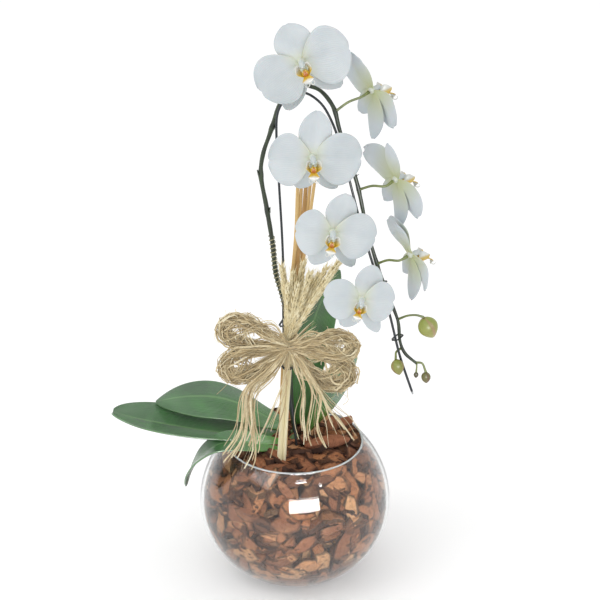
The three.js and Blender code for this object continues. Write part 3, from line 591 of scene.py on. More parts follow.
def absorb(whole: Mesh, piece: Mesh, matrix: Matrix | None = None) -> None:
    """Moves a piece into a larger mesh.

    Args:
        whole: The mesh that takes it in.
        piece: The mesh that goes in, and is freed.
        matrix: Where it goes.
    """
    if matrix is not None:
        moved(piece, matrix)
    scrap = bpy.data.meshes.new("scrap")
    piece.to_mesh(scrap)
    piece.free()
    whole.from_mesh(scrap)
    bpy.data.meshes.remove(scrap)


def finished(bm: Mesh, name: str, material: Material,
             nodes: Sequence[str], levels: int = 0, smooth: bool = True) -> bpy.types.Object:
    """Turns a mesh into a piece that rides on the body and stands for its nodes.

    Args:
        bm: The mesh, in metres, which is freed.
        name: The piece's name.
        material: Its finish.
        nodes: The nodes that it stands for.
        levels: How often its faces are subdivided.
        smooth: Whether its faces are shaded as one rounded surface.

    Returns:
        The piece.
    """
    for face in bm.faces:
        face.smooth = smooth
    mesh = bpy.data.meshes.new(name)
    bm.to_mesh(mesh)
    bm.free()
    piece = bpy.data.objects.new(name, mesh)
    bpy.context.scene.collection.objects.link(piece)
    mesh.materials.append(material)
    if levels:
        subdivision = piece.modifiers.new("rounding", "SUBSURF")
        subdivision.levels = levels
        subdivision.render_levels = levels
    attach(piece, BODY)
    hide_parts(*nodes)
    LOG.info("%s: %d faces", name, len(mesh.polygons))
    return piece


def thicken(bm: Mesh, thickness: float) -> None:
    """Gives a sheet a second skin behind the first and closes its edge.

    Args:
        bm: The sheet.
        thickness: How far behind the second skin lies.
    """
    back = bm.verts.layers.float.get("back") or bm.verts.layers.float.new("back")
    bm.normal_update()
    fronts = list(bm.verts)
    rim = [edge for edge in bm.edges if edge.is_boundary]
    copy = bmesh.ops.duplicate(bm, geom=bm.verts[:] + bm.edges[:] + bm.faces[:])
    twins, edge_twins = copy["vert_map"], copy["edge_map"]
    for front in fronts:
        twin = twins[front]
        twin.co = front.co - front.normal * thickness / 2
        front.co = front.co + front.normal * thickness / 2
        twin[back] = 1.0
    faces = [element for element in copy["geom"] if isinstance(element, bmesh.types.BMFace)]
    bmesh.ops.reverse_faces(bm, faces=faces)
    bmesh.ops.bridge_loops(bm, edges=rim + [edge_twins[edge] for edge in rim])
    bmesh.ops.recalc_face_normals(bm, faces=bm.faces)


def sheet(across: int, along: int, place: Place, thickness: float,
          numbers: dict[str, Callable[[float, float], float]] | None = None) -> Mesh:
    """Bends a grid into a thin closed blade, in millimetres.

    Args:
        across: Faces across it.
        along: Faces along it.
        place: Where a point goes, by its place across from -1 to 1 and along from 0 to 1.
        thickness: Its thickness.
        numbers: Values to store on it by name.

    Returns:
        The blade, with a UV map that runs across and along.
    """
    bm = bmesh.new()
    bm.loops.layers.uv.new("UVMap")
    layers = {name: bm.verts.layers.float.new(name) for name in (numbers or {})}
    bmesh.ops.create_grid(bm, x_segments=across, y_segments=along, size=1.0, calc_uvs=True)
    for vert in bm.verts:
        u, v = vert.co.x, (vert.co.y + 1) / 2
        for name, layer in layers.items():
            vert[layer] = numbers[name](u, v)
        vert.co = place(u, v)
    thicken(bm, thickness)
    return bm


def crowded(v: float) -> float:
    """Moves a blade's rows towards its tip, where its outline bends most."""
    return math.sin(v * math.pi / 2)


def tinted(bm: Mesh, shade: Callable[[Vector], Colour]) -> Mesh:
    """Stores a colour on each point of a mesh, by where it is.

    Args:
        bm: The mesh.
        shade: The colour at a place.

    Returns:
        The same mesh.
    """
    layer = bm.verts.layers.float_color.get("tint") or bm.verts.layers.float_color.new("tint")
    for vert in bm.verts:
        vert[layer] = shade(vert.co)
    return bm


def ball(radii: Triple, centre: Triple = (0, 0, 0), turns: int = 16, rings: int = 10) -> Mesh:
    """Makes a rounded body of three half sizes about a centre."""
    bm = bmesh.new()
    bmesh.ops.create_uvsphere(bm, u_segments=turns, v_segments=rings, radius=1.0)
    return moved(bm, Matrix.Translation(centre) @ Matrix.Diagonal((*radii, 1)))


@dataclass(frozen=True)
class Tepal:
    """One petal or sepal: its angle from the top, clockwise, and its sizes in millimetres."""

    angle: float
    length: float
    width: float
    back: float
    broad: bool = False

    FOOT = 1.5
    THICKNESS = 0.85

    def outline(self, v: float) -> float:
        """Gives the half width as a share of the widest, along the blade."""
        widest, foot, bulge, end = (0.52, 0.17, 0.85, 0.5) if self.broad else (0.5, 0.32, 1, 0.62)
        if v < widest:
            return foot + (1 - foot) * math.sin(math.pi / 2 * v / widest) ** bulge
        return max(0.0, 1 - ((v - widest) / (1.01 - widest)) ** 2) ** end

    def blade(self, seed: float) -> Mesh:
        """Builds the blade in the bloom's own frame.

        Args:
            seed: A number that changes the ripple of its edge.

        Returns:
            The blade.
        """
        turn = math.radians(self.angle)
        axis = Vector((math.sin(turn), math.cos(turn), 0))
        side = Vector((math.cos(turn), -math.sin(turn), 0))
        layer, cup, ripple = (1.2, 1.9, 0.9) if self.broad else (-1.5, 1.5, 0.5)

        def place(u: float, v: float) -> Vector:
            """Gives a point of the blade."""
            share = crowded(v)
            half = self.width / 2 * self.outline(share)
            reach = self.FOOT + (self.length - self.FOOT) * share
            notch = 0.0
            if self.broad:
                notch = 0.9 * math.exp(-(u * 4) ** 2) * max(0.0, share - 0.85) / 0.15
            edge = abs(u) ** 4 + max(0.0, share - 0.7) * 1.6
            rise = (layer * min(1, share * 3) - self.back * share ** 2
                    + cup * (u * self.outline(share)) ** 2
                    + ripple * edge * math.sin(u * 3.1 + share * 7.5 + seed)
                    - 0.7 * math.exp(-(u * 7) ** 2) * (1 - share)
                    + 0.35 * math.sin(share * 5 + seed * 2 + u * 2))
            return axis * (reach - notch) + side * (u * half) + Vector((0, 0, rise))

        numbers = {
            "foot": lambda u, v: max(0.0, 1 - crowded(v) * self.length / 13) ** 1.3 * 0.85,
            "root": lambda u, v: max(0.0, 1 - crowded(v) * 1.35),
        }
        across, rows = (17, 17) if self.broad else (12, 14)
        return sheet(across, rows, place, self.THICKNESS, numbers)


@dataclass(frozen=True)
class Bloom:
    """One open flower: five tepals, a column and the lip in front of them."""

    number: int
    centre: Triple
    turn: float
    lift: float
    lip_turn: float
    lip_scale: float
    dorsal: Tepal
    petals: tuple[Tepal, Tepal]
    sepals: tuple[Tepal, Tepal]

    LIP_CENTRE = 7
    WHITE = paint(226, 229, 224)
    CREAM = paint(232, 224, 170)
    YELLOW = paint(216, 182, 40)
    ORANGE = paint(204, 122, 36)
    RED = paint(140, 64, 28)

    def pose(self) -> Matrix:
        """Gives the matrix from the bloom's frame, in millimetres, to the object's, in metres."""
        turn, lift = math.radians(self.turn), math.radians(self.lift)
        level = math.cos(lift)
        facing = Vector((math.sin(turn) * level, -math.cos(turn) * level, math.sin(lift)))
        right = UP.cross(facing).normalized()
        up = facing.cross(right)
        rotation = Matrix((right, up, facing)).transposed().to_4x4()
        return TO_METRES @ Matrix.Translation(self.centre) @ rotation

    def _column(self) -> Mesh:
        """Builds the column: a hooded post with its cap, over the heart of the flower."""
        whole = ball((3.4, 3.4, 3.2), (0, 0, -0.2), 20, 12)
        post = ball((2.7, 2.9, 5.6), (0, 0, 0), 20, 14)
        for vert in post.verts:
            hood = max(0.0, vert.co.z) / 5.6
            vert.co.y -= 1.6 * hood ** 2
            if vert.co.y < 0:
                vert.co.y *= 1 - 0.45 * hood
        absorb(whole, turned(post, 8, "X"), Matrix.Translation((0, -0.8, 5.4)))
        absorb(whole, ball((1.7, 1.5, 1.5), (0, -2.6, 10.2), 14, 10))
        for side in (-1, 1):
            absorb(whole, ball((0.9, 1.3, 2.2), (side * 2.3, -2.2, 8.2), 10, 8))
        foot = whole.verts.layers.float.new("foot")
        for vert in whole.verts:
            vert[foot] = 0.55 if vert.co.z < 2.5 else 0.12
        return turned(whole, -self.lip_turn, "Z")

    def _side_lobe(self, side: int) -> Mesh:
        """Builds one of the lip's two raised wings."""
        def place(u: float, v: float) -> Vector:
            """Gives a point of the wing."""
            outward = (1.6 + 4.6 * math.sin(math.pi / 2 * min(1, v * 1.5)) - 1.2 * v ** 3
                       + 1.7 * u * (0.4 + v) - 0.8 * u * u * v)
            upward = -10.8 + 11 * v * (1 - 0.22 * abs(u) ** 3 * v)
            half = (2.4 + 2.7 * math.sin(math.pi * (0.12 + 0.76 * v))) * (1 - max(0.0, v - 0.7))
            return Vector((side * outward, upward, 9.6 + u * half + 0.8 * v))

        def shade(spot: Vector) -> Colour:
            """White, yellow at the foot, with red brown stripes low down inside."""
            low = (-3.4 - spot.y) / 3.6 + 0.2 * max(0.0, math.sin(spot.y * 2.1))
            base = blend(self.WHITE, self.YELLOW, low)
            stripe = max(0.0, math.sin(spot.z * 2.6)) ** 3 * max(0.0, (-6.0 - spot.y) / 4)
            return blend(base, self.RED, stripe * 0.9)

        return tinted(sheet(10, 14, place, 0.7), shade)

    def _middle_lobe(self) -> Mesh:
        """Builds the lip's arrow-shaped middle lobe."""
        foot, length, widest = -9.6, 8.2, 5.8

        def width(v: float) -> float:
            """Gives its half width along it."""
            if v < 0.6:
                return 2.2 + 3.6 * (v / 0.6) ** 2
            return max(0.9, widest * (1 - (v - 0.6) / 0.46))

        def place(u: float, v: float) -> Vector:
            """Gives a point of the lobe."""
            keel = 0.9 * (1 - abs(u)) * math.sin(math.pi * min(1, v * 1.1))
            forward = 10.8 + 6.5 * math.sin(v * 2.2) + keel
            return Vector((u * width(v), foot - length * v + 1.4 * u * u, forward))

        def shade(spot: Vector) -> Colour:
            """Orange at the foot, yellow, and white from the middle to the tip."""
            v = (foot - spot.y) / length
            edge = abs(spot.x) / widest
            base = blend(self.ORANGE, self.YELLOW, v * 5 + edge)
            base = blend(base, self.WHITE, (v - 0.26) * 6 - edge * 1.2 * (1 - v))
            stripe = max(0.0, math.sin(spot.x * 4.4)) ** 4 * max(0.0, 1 - v * 1.6)
            rim = max(0.0, edge - 0.72) * 3 * max(0.0, 1 - abs(v - 0.5) * 3)
            return blend(base, self.RED, max(stripe, rim) * 0.85)

        return tinted(sheet(12, 16, place, 0.8), shade)

    def _callus(self) -> Mesh:
        """Builds the orange ridge between the wings, with its two pale teeth."""
        def shade(spot: Vector) -> Colour:
            """Orange with red stripes, and yellow at the sides and the top."""
            striped = blend(self.ORANGE, self.RED, max(0.0, math.sin(spot.x * 5 + spot.y) * 0.9))
            yellow = (abs(spot.x) - 1.6) * 0.8 + max(0.0, spot.y + 7.4) * 0.7
            return blend(striped, self.YELLOW, yellow)

        whole = ball((3.3, 3.2, 2.8), (0, -8.1, 12.1), 16, 12)
        for vert in whole.verts:
            if vert.co.z > 12.2:
                vert.co.z -= 0.7 * math.exp(-(vert.co.x * 1.5) ** 2)
        tinted(whole, shade)
        for side in (-1, 1):
            tooth = bmesh.new()
            bmesh.ops.create_cone(tooth, cap_ends=True, segments=8, radius1=0.9, radius2=0.15,
                                  depth=3.4)
            bmesh.ops.subdivide_edges(tooth, edges=tooth.edges[:], cuts=1)
            moved(turned(tooth, -62, "X"), Matrix.Translation((side * 1.5, -6.9, 13.2)))
            absorb(whole, tinted(tooth, lambda spot: blend(self.YELLOW, self.WHITE,
                                                           (spot.y + 8.2) * 0.8)))
        return whole

    def _tendrils(self) -> Mesh:
        """Builds the claw that carries the lip and the two curled tendrils at its tip."""
        strands = Strands("lip_tendrils", smoothness=2)
        claw = Route([(0, -6.4, 4.6), (0, -8.8, 7.5), (0, -10.4, 11.5)]).spots(8)
        strands.add(claw, [1.2 + 0.5 * i / 7 for i in range(8)])
        for side in (-1, 1):
            curl = Route([
                (side * 0.4, -17.2, 15.6), (side * 2.2, -18.7, 17.4), (side * 4.2, -17.4, 18.8),
                (side * 4.5, -15.6, 18.4), (side * 3.4, -15.2, 17.6),
            ]).spots(18)
            strands.add(curl, [0.55 * (1 - i / 17) + 0.12 for i in range(18)])
        bm = moved(strands.bmesh(), TO_MILLIMETRES)
        return tinted(bm, lambda spot: blend(self.CREAM, self.WHITE, (-spot.y - 8) / 6))

    def build(self, finishes: Finishes) -> None:
        """Builds the flower and its lip.

        Args:
            finishes: The object's materials.
        """
        flower = bmesh.new()
        for index, tepal in enumerate((self.dorsal, *self.sepals, *self.petals)):
            absorb(flower, tepal.blade(self.number * 1.7 + index * 2.3))
        absorb(flower, self._column())
        finished(moved(flower, self.pose()), f"flower_{self.number}", finishes.petal,
                 [f"bloom_{self.number}"], 1)
        lip = self._middle_lobe()
        for piece in (self._side_lobe(-1), self._side_lobe(1), self._callus(), self._tendrils()):
            absorb(lip, piece)
        shift = (1 - self.lip_scale) * self.LIP_CENTRE
        moved(lip, Matrix.Translation((0, -shift, shift)) @ Matrix.Scale(self.lip_scale, 4))
        moved(turned(lip, -self.lip_turn, "Z"), self.pose())
        finished(lip, f"flower_lip_{self.number}", finishes.lip,
                 [f"lip_{self.number}"], 1)


def broad(angle: float, length: float, width: float, back: float) -> Tepal:
    """Describes a petal."""
    return Tepal(angle, length, width, back, True)


BLOOMS = (
    Bloom(1, (6.5, -62, 573.5), 0, 0, -27, 1.05, Tepal(-23, 36, 36, 2),
          (broad(-129, 47, 52, 3), broad(75, 45, 56, 3)), (Tepal(-165, 49, 24, 4), Tepal(123, 44, 25, 4))),
    Bloom(2, (16.5, -98, 495.5), 6, 0, 2, 1, Tepal(7, 42, 31, 3),
          (broad(-93, 40, 51, 2), broad(95, 45, 51, 3)), (Tepal(-158, 34, 24, 5), Tepal(146, 40, 20, 5))),
    Bloom(3, (35, -113, 429), 4, 0, 14, 0.95, Tepal(23, 37, 29, 4),
          (broad(-88, 34, 46, 2), broad(100, 40, 46, 2)), (Tepal(-152, 38, 25, 4), Tepal(152, 42, 18, 5))),
    Bloom(4, (62, -122, 366.5), 0, 0, 20, 0.85, Tepal(21, 33, 26, 3),
          (broad(-88, 35, 42, 2), broad(98, 30, 42, 2)), (Tepal(-150, 35, 22, 4), Tepal(157, 40, 16, 5))),
    Bloom(5, (71.1, -50, 543.2), 125, 20, 5, 1.12, Tepal(16, 41, 24, 3),
          (broad(-138, 40, 38, 6), broad(62, 38, 46, 2)), (Tepal(-178, 44, 25, 14), Tepal(140, 36, 20, 4))),
    Bloom(6, (93.2, -80, 467.8), 125, 20, 3, 1.05, Tepal(-12, 44, 20, 1),
          (broad(-138, 41, 38, 6), broad(60, 43, 44, 3)), (Tepal(-178, 46, 24, 12), Tepal(140, 36, 19, 4))),
    Bloom(7, (107.7, -98, 400.4), 114, 18, 3, 1, Tepal(10, 34, 21, 2),
          (broad(-135, 36, 36, 6), broad(46, 41, 42, 2)), (Tepal(-178, 43, 26, 12), Tepal(142, 34, 18, 3))),
)


@dataclass
class Bud:
    """A closed bud on its short stalk, in millimetres."""

    number: int
    centre: Triple
    length: float
    width: float
    stalk: tuple[Triple, ...]
    base: Colour = paint(150, 162, 74)
    flush: Colour = paint(176, 140, 110)

    CLEARANCE = 0.85

    def build(self, finishes: Finishes) -> None:
        """Builds the bud with the three grooves where its sepals meet.

        Args:
            finishes: The object's materials.
        """
        seat = Vector(self.stalk[-1])
        axis = (Vector(self.centre) - seat).normalized()
        bm = bmesh.new()
        bmesh.ops.create_uvsphere(bm, u_segments=36, v_segments=20, radius=1.0)
        tint = bm.verts.layers.float_color.new("tint")
        for vert in bm.verts:
            share = math.acos(max(-1, min(1, -vert.co.z))) / math.pi
            turn = math.atan2(vert.co.y, vert.co.x)
            radius = self.width / 2 * max(0.0, math.sin(math.pi * share ** 0.85)) ** 0.75
            depth = 0.09 * math.sin(math.pi * share)
            groove = 1 - depth * math.exp(-(math.sin(1.5 * turn) * 5) ** 2)
            shade = 0.75 * max(0.0, 1 - abs(math.sin(1.5 * turn)) * 2.2) + 0.35 * share
            vert[tint] = blend(self.base, self.flush, shade)
            vert.co = around(radius * groove, turn, share * self.length)
        bmesh.ops.remove_doubles(bm, verts=bm.verts, dist=0.01)
        moved(bm, TO_METRES @ Matrix.Translation(seat + axis * self.CLEARANCE) @ aim(axis))
        finished(bm, f"flower_bud_{self.number}", finishes.bud,
                 [f"bud_{self.number}"])


BUDS = (
    Bud(1, (125.2, -104, 329.5), 23, 19,
        ((97.4, -99, 335), (106, -101, 339.5), (114, -103, 341), (120.2, -104, 339.7))),
    Bud(2, (97.6, -112, 290.2), 16, 12.5, ((100.6, -100, 305), (96, -105, 303.5), (95.4, -110, 299.6)),
        paint(140, 150, 66), paint(150, 112, 80)),
    Bud(3, (125, -104, 276), 12, 9, ((115.9, -101, 290.6), (121, -102.4, 290.4), (124.4, -104, 282.9)),
        paint(112, 112, 62), paint(120, 76, 66)),
    Bud(4, (115.6, -103.2, 278.6), 6.4, 4.6,
        ((115.9, -101, 290.4), (116, -102.4, 286.5), (115.7, -103.1, 282.5)),
        paint(90, 90, 60), paint(84, 62, 56)),
)


@dataclass
class Spike:
    """The arched flower stem with its pedicels, joints, wire, clips and wound twine."""

    stem: Route = field(default_factory=lambda: Route([
        (3, 11, 128), (1.5, 10, 146), (-3, 9, 180), (-6.4, 8, 256), (-11.3, 7, 306.7), (-18.6, 6, 335.6),
        (-22, 5, 370.4), (-27.4, 3, 408.2), (-32.6, 0.5, 444.5), (-29.9, -1.5, 465.4), (-23.3, -5, 486.3),
        (-14.9, -14, 515.5), (-8.7, -20, 530), (0.7, -27, 539.9), (9, -33, 542.6), (17.3, -39, 542.6),
        (25, -45, 540.2), (35.9, -57, 528.8), (40.9, -66, 512.1), (47.3, -72, 493), (57.5, -81, 464.3),
        (66.1, -90, 426.5), (72.8, -94, 402.2), (78.6, -96, 384), (86.4, -98, 361.5), (97.2, -100, 333.5),
        (99.8, -100.5, 311.9), (104.6, -101, 300.4), (116.3, -101, 289.3),
    ]))
    wire: Route = field(default_factory=lambda: Route([
        (3, -17, 40), (1.5, -17, 154), (-6, -9, 212), (-10.9, -3, 260.8), (-11.5, -2.5, 357.5),
        (-15.1, -6, 438.5), (-17, -11, 481.5), (-15.4, -20, 512.4), (-6.8, -30, 529.7), (2.5, -39, 537),
        (11.5, -47, 539), (20.5, -54, 535.5), (27.7, -61, 529.5), (37.2, -73, 513), (45.6, -81, 487),
        (52.8, -89, 460), (61.2, -97, 429.3), (69.8, -102, 401.2), (77.5, -104, 376.9), (88.3, -106, 345.2),
        (92.9, -107, 327.1), (99, -107, 302.1), (113, -104, 258.5),
    ]))
    foot_radius: float = 2.9
    tip_radius: float = 1.6
    wire_radius: float = 1.2
    pedicel_radius: float = 1.15
    pedicel_roots: tuple[float, ...] = (0.575, 0.702, 0.798, 0.897, 0.652, 0.753, 0.85)
    joints: tuple[float, ...] = (0.375, 0.43, 0.5)
    clip_shares: tuple[float, ...] = (0.212, 0.59, 0.735, 0.876, 0.952)
    heart_radius: float = 3.8
    stem_rings: int = 260
    wire_rings: int = 220
    twine_turns: int = 17
    twine_radius: float = 0.34
    twine_from: float = 0.235
    twine_to: float = 0.34

    def radius(self, share: float) -> float:
        """Gives the stem's radius at a share of its length."""
        return self.foot_radius + (self.tip_radius - self.foot_radius) * share

    def _stem(self, finishes: Finishes) -> None:
        """Builds the stem, swollen at its joints, each with a dry bract."""
        count = self.stem_rings
        swellings = [*self.joints, *self.pedicel_roots]
        radii = []
        for index in range(count):
            share = index / (count - 1)
            swell = sum(math.exp(-((share - spot) * 170) ** 2) for spot in swellings)
            uneven = 0.12 * math.sin(index * 0.7)
            radii.append(self.radius(share) * 0.93 + 0.55 * min(swell, 1) + uneven)
        strands = Strands("stem_line", smoothness=4)
        strands.add(self.stem.spots(count), radii)
        bm = strands.bmesh()
        for order, share in enumerate(self.joints):
            absorb(bm, self._bract(share, order))
        finished(bm, "flower_stem", finishes.spike, ["flower_spike"])

    def _bract(self, share: float, order: int) -> Mesh:
        """Builds the small scale that clasps the stem at a joint."""
        heading = self.stem.heading(share)
        outward = heading.cross(Vector((0, 1, 0))).normalized() * (1 if order % 2 else -1)
        third = heading.cross(outward)
        start = self.stem.at(share)
        radius = self.radius(share)

        def place(u: float, v: float) -> Vector:
            """Gives a point of the scale."""
            turn = u * 1.25 * (1 - 0.75 * v ** 2)
            reach = radius + 0.45 + 0.75 * v
            round_stem = outward * math.cos(turn) + third * math.sin(turn)
            return start + heading * (v * 5.5 - 1) + round_stem * reach

        return moved(sheet(8, 8, place, 0.5))

    def _pedicels(self, finishes: Finishes) -> None:
        """Builds the stalk of each bloom and bud."""
        strands = Strands("pedicel_lines", smoothness=3)
        for root, bloom in zip(self.pedicel_roots, BLOOMS):
            pose = TO_MILLIMETRES @ bloom.pose()
            end = pose @ Vector((0, 0, -self.heart_radius - 0.2))
            before = pose @ Vector((0, 0, -self.heart_radius - 9))
            start = self.stem.at(root)
            middle = start.lerp(before, 0.5) + Vector((0, 0, 2))
            count = 30
            shares = [index / (count - 1) for index in range(count)]
            flare = [self.pedicel_radius + 2.75 * max(0, share - 0.8)
                     + 3.2 * max(0, 0.12 - share) for share in shares]
            strands.add(Route([start, middle, before, end]).spots(count), flare)
        for bud in BUDS:
            count = 22
            radii = [1.25 - 0.25 * math.sin(math.pi * i / (count - 1)) for i in range(count)]
            scale = 0.75 if bud.number == 4 else 1
            stalk = Route(bud.stalk)
            seat = stalk.at(1) + stalk.heading(1) * (Bud.CLEARANCE + 0.3)
            strands.add([*stalk.spots(count - 1), seat], [r * scale for r in radii])
        finished(strands.bmesh(), "flower_stalks", finishes.pedicel, ["flower_spike"])

    def _wire(self, finishes: Finishes) -> None:
        """Builds the bent support wire with its cut tip."""
        strands = Strands("wire_line", smoothness=3)
        strands.add(self.wire.spots(self.wire_rings, 0, 0.996), self.wire_radius)
        finished(strands.bmesh(), "support_rod", finishes.wire, ["support_wire"])
        tip = Strands("wire_tip", smoothness=3)
        tip.add(self.wire.spots(4, 0.9955, 1), [1.05, 1.05, 1.0, 0.8])
        finished(tip.bmesh(), "support_rod_tip", finishes.steel, ["support_wire"])

    def _clips(self, finishes: Finishes) -> None:
        """Builds each clip: a band round stem and wire, and the two grips that open it."""
        for number, share in enumerate(self.clip_shares, 1):
            on_stem = self.stem.at(share)
            heading = self.stem.heading(share)
            across = self.wire.nearest(on_stem) - on_stem
            across -= heading * across.dot(heading)
            reach = across.length
            across.normalize()
            third = heading.cross(across)
            inner = self.radius(share) + 1.3
            loop = []
            for index in range(40):
                turn = index / 40 * math.tau
                middle = on_stem + across * (reach if math.cos(turn) > 0 else 0)
                outward = across * math.cos(turn) + third * math.sin(turn)
                loop.append(middle + outward * inner)
            band = Strands("clip_line", Section.FLAT, smoothness=1)
            band.add(loop, 1.15, tilt=math.pi / 2, closed=True)
            bm = band.bmesh()
            grips = Strands("grip_line", smoothness=2)
            ends = on_stem + across * (reach + inner - 0.4)
            for side in (-1, 1):
                tip = ends + across * 2.0 + third * (side * 1.9)
                grips.add([ends, ends.lerp(tip, 0.5), tip], [0.7, 0.75, 0.55])
            absorb(bm, grips.bmesh())
            finished(bm, f"stem_clip_{number}", finishes.clip, [f"clip_{number}"])

    def _twine(self, finishes: Finishes) -> None:
        """Winds twine up the low part of the stem, in two crossing plies."""
        strands = Strands("twine_line", smoothness=1)
        for ply in range(2):
            spots, count = [], self.twine_turns * 14
            for index in range(count):
                v = index / (count - 1)
                share = self.twine_from + (self.twine_to - self.twine_from) * v
                heading = self.stem.heading(share)
                first = heading.cross(Vector((0, 1, 0))).normalized()
                second = heading.cross(first)
                turn = v * self.twine_turns * math.tau + ply * 0.55
                radius = self.radius(share) + 0.5
                outward = first * math.cos(turn) + second * math.sin(turn)
                spots.append(self.stem.at(share) + outward * radius)
            strands.add(spots, self.twine_radius)
        finished(strands.bmesh(), "wound_twine", finishes.twine, ["stem_twine"])

    def build(self, finishes: Finishes) -> None:
        """Builds every piece of the spike.

        Args:
            finishes: The object's materials.
        """
        self._stem(finishes)
        self._pedicels(finishes)
        self._wire(finishes)
        self._clips(finishes)
        self._twine(finishes)


@dataclass
class Leaf:
    """A strap leaf: its midrib's route, widest half width and how its face is turned."""

    number: int
    half: float
    foot: float
    side: Triple
    fold: float
    wave: float
    route: tuple[Triple, ...]
    fresh_foot: float = 0.35
    blunt: float = 2

    THICKNESS = 1.7
    WIDEST = 0.55
    END = 1.005

    def outline(self, v: float) -> float:
        """Gives the half width as a share of the widest, along the leaf."""
        if v < self.WIDEST:
            return self.foot + (1 - self.foot) * math.sin(math.pi / 2 * v / self.WIDEST)
        past = (v - self.WIDEST) / (self.END - self.WIDEST)
        return max(0.0, 1 - past ** self.blunt) ** (1.4 / self.blunt)

    def build(self, finishes: Finishes) -> None:
        """Builds the leaf.

        Args:
            finishes: The object's materials.
        """
        line = Route(self.route)
        hint = Vector(self.side).normalized()
        face_sign = -1 if line.heading(0).cross(hint).z < 0 else 1

        def place(u: float, v: float) -> Vector:
            """Gives a point of the leaf."""
            share = crowded(v)
            spot, heading = line.at(share), line.heading(share)
            across = (hint - heading * hint.dot(heading)).normalized()
            face = heading.cross(across).normalized() * face_sign
            lift = (self.fold * abs(u) ** 1.4 * self.outline(share)
                    + self.wave * math.sin(share * 9 + u * 1.5) * u * u
                    - 0.5 * math.exp(-(u * 14) ** 2) * (1 - share))
            return spot + across * (u * self.half * self.outline(share)) + face * lift

        def rib(u: float, v: float) -> float:
            """Gives how pale a point is: along the midrib and at the edge."""
            return (0.75 * math.exp(-(u * 22) ** 2) * (1 - 0.6 * v)
                    + 7 * max(0.0, abs(u) - 0.95))

        def fresh(u: float, v: float) -> float:
            """Gives how light green a point is: only near the foot."""
            return self.fresh_foot * max(0.0, 1 - crowded(v) * 2.2) ** 0.8

        bm = moved(sheet(26, 40, place, self.THICKNESS, {"rib": rib, "fresh": fresh}))
        finished(bm, f"orchid_leaf_{self.number}", finishes.leaf,
                 [f"leaf_{self.number}"], 1)


LEAVES = (
    Leaf(1, 28.5, 0.3, (0, 1, 0.05), 7.5, 1,
         ((-13.5, 0, 153), (-45, -3, 157), (-90, -5, 163), (-135.3, -4, 171), (-165, -2, 176.5),
          (-188.1, 0, 182.5)), blunt=3),
    Leaf(2, 29.5, 0.28, (0, 1, 0.23), -3.5, 1,
         ((-12.5, 10, 163), (-30, 16, 168.5), (-55, 20, 180.5), (-83.4, 22, 188.5), (-118, 21, 189),
          (-144.8, 20, 184))),
    Leaf(3, 17, 0.36, (0.3, 1, 0.2), 3, 0.6,
         ((-9, -15, 152.5), (-30, -22, 157), (-56, -28, 163), (-78, -31, 161.5), (-96, -33, 149),
          (-106, -33, 133), (-112, -33, 115)), 1.0),
    Leaf(4, 24, 0.35, (0.93, 0.35, 0.1), 4, 1,
         ((4.5, 19, 158), (7, 24, 190), (12, 30, 240), (24, 37, 285), (44.5, 42, 325)), 0.5),
    Leaf(5, 21, 0.35, (0.75, 0.6, 0.1), 4, 1,
         ((13, 6, 156), (26, 9, 174), (42, 13, 201), (53, 16, 228), (60, 18, 255)), 0.6),
)


class Drawn:
    """Something whose small details are drawn at random, the same way in every run."""

    draws: random.Random

    def draw(self, low: float, high: float) -> float:
        """Draws a number between two others."""
        return self.draws.uniform(low, high)

    def cloud_spot(self, reach: float) -> Vector:
        """Draws a point from 0 to reach on each axis."""
        return Vector([self.draw(0, reach) for _ in range(3)])


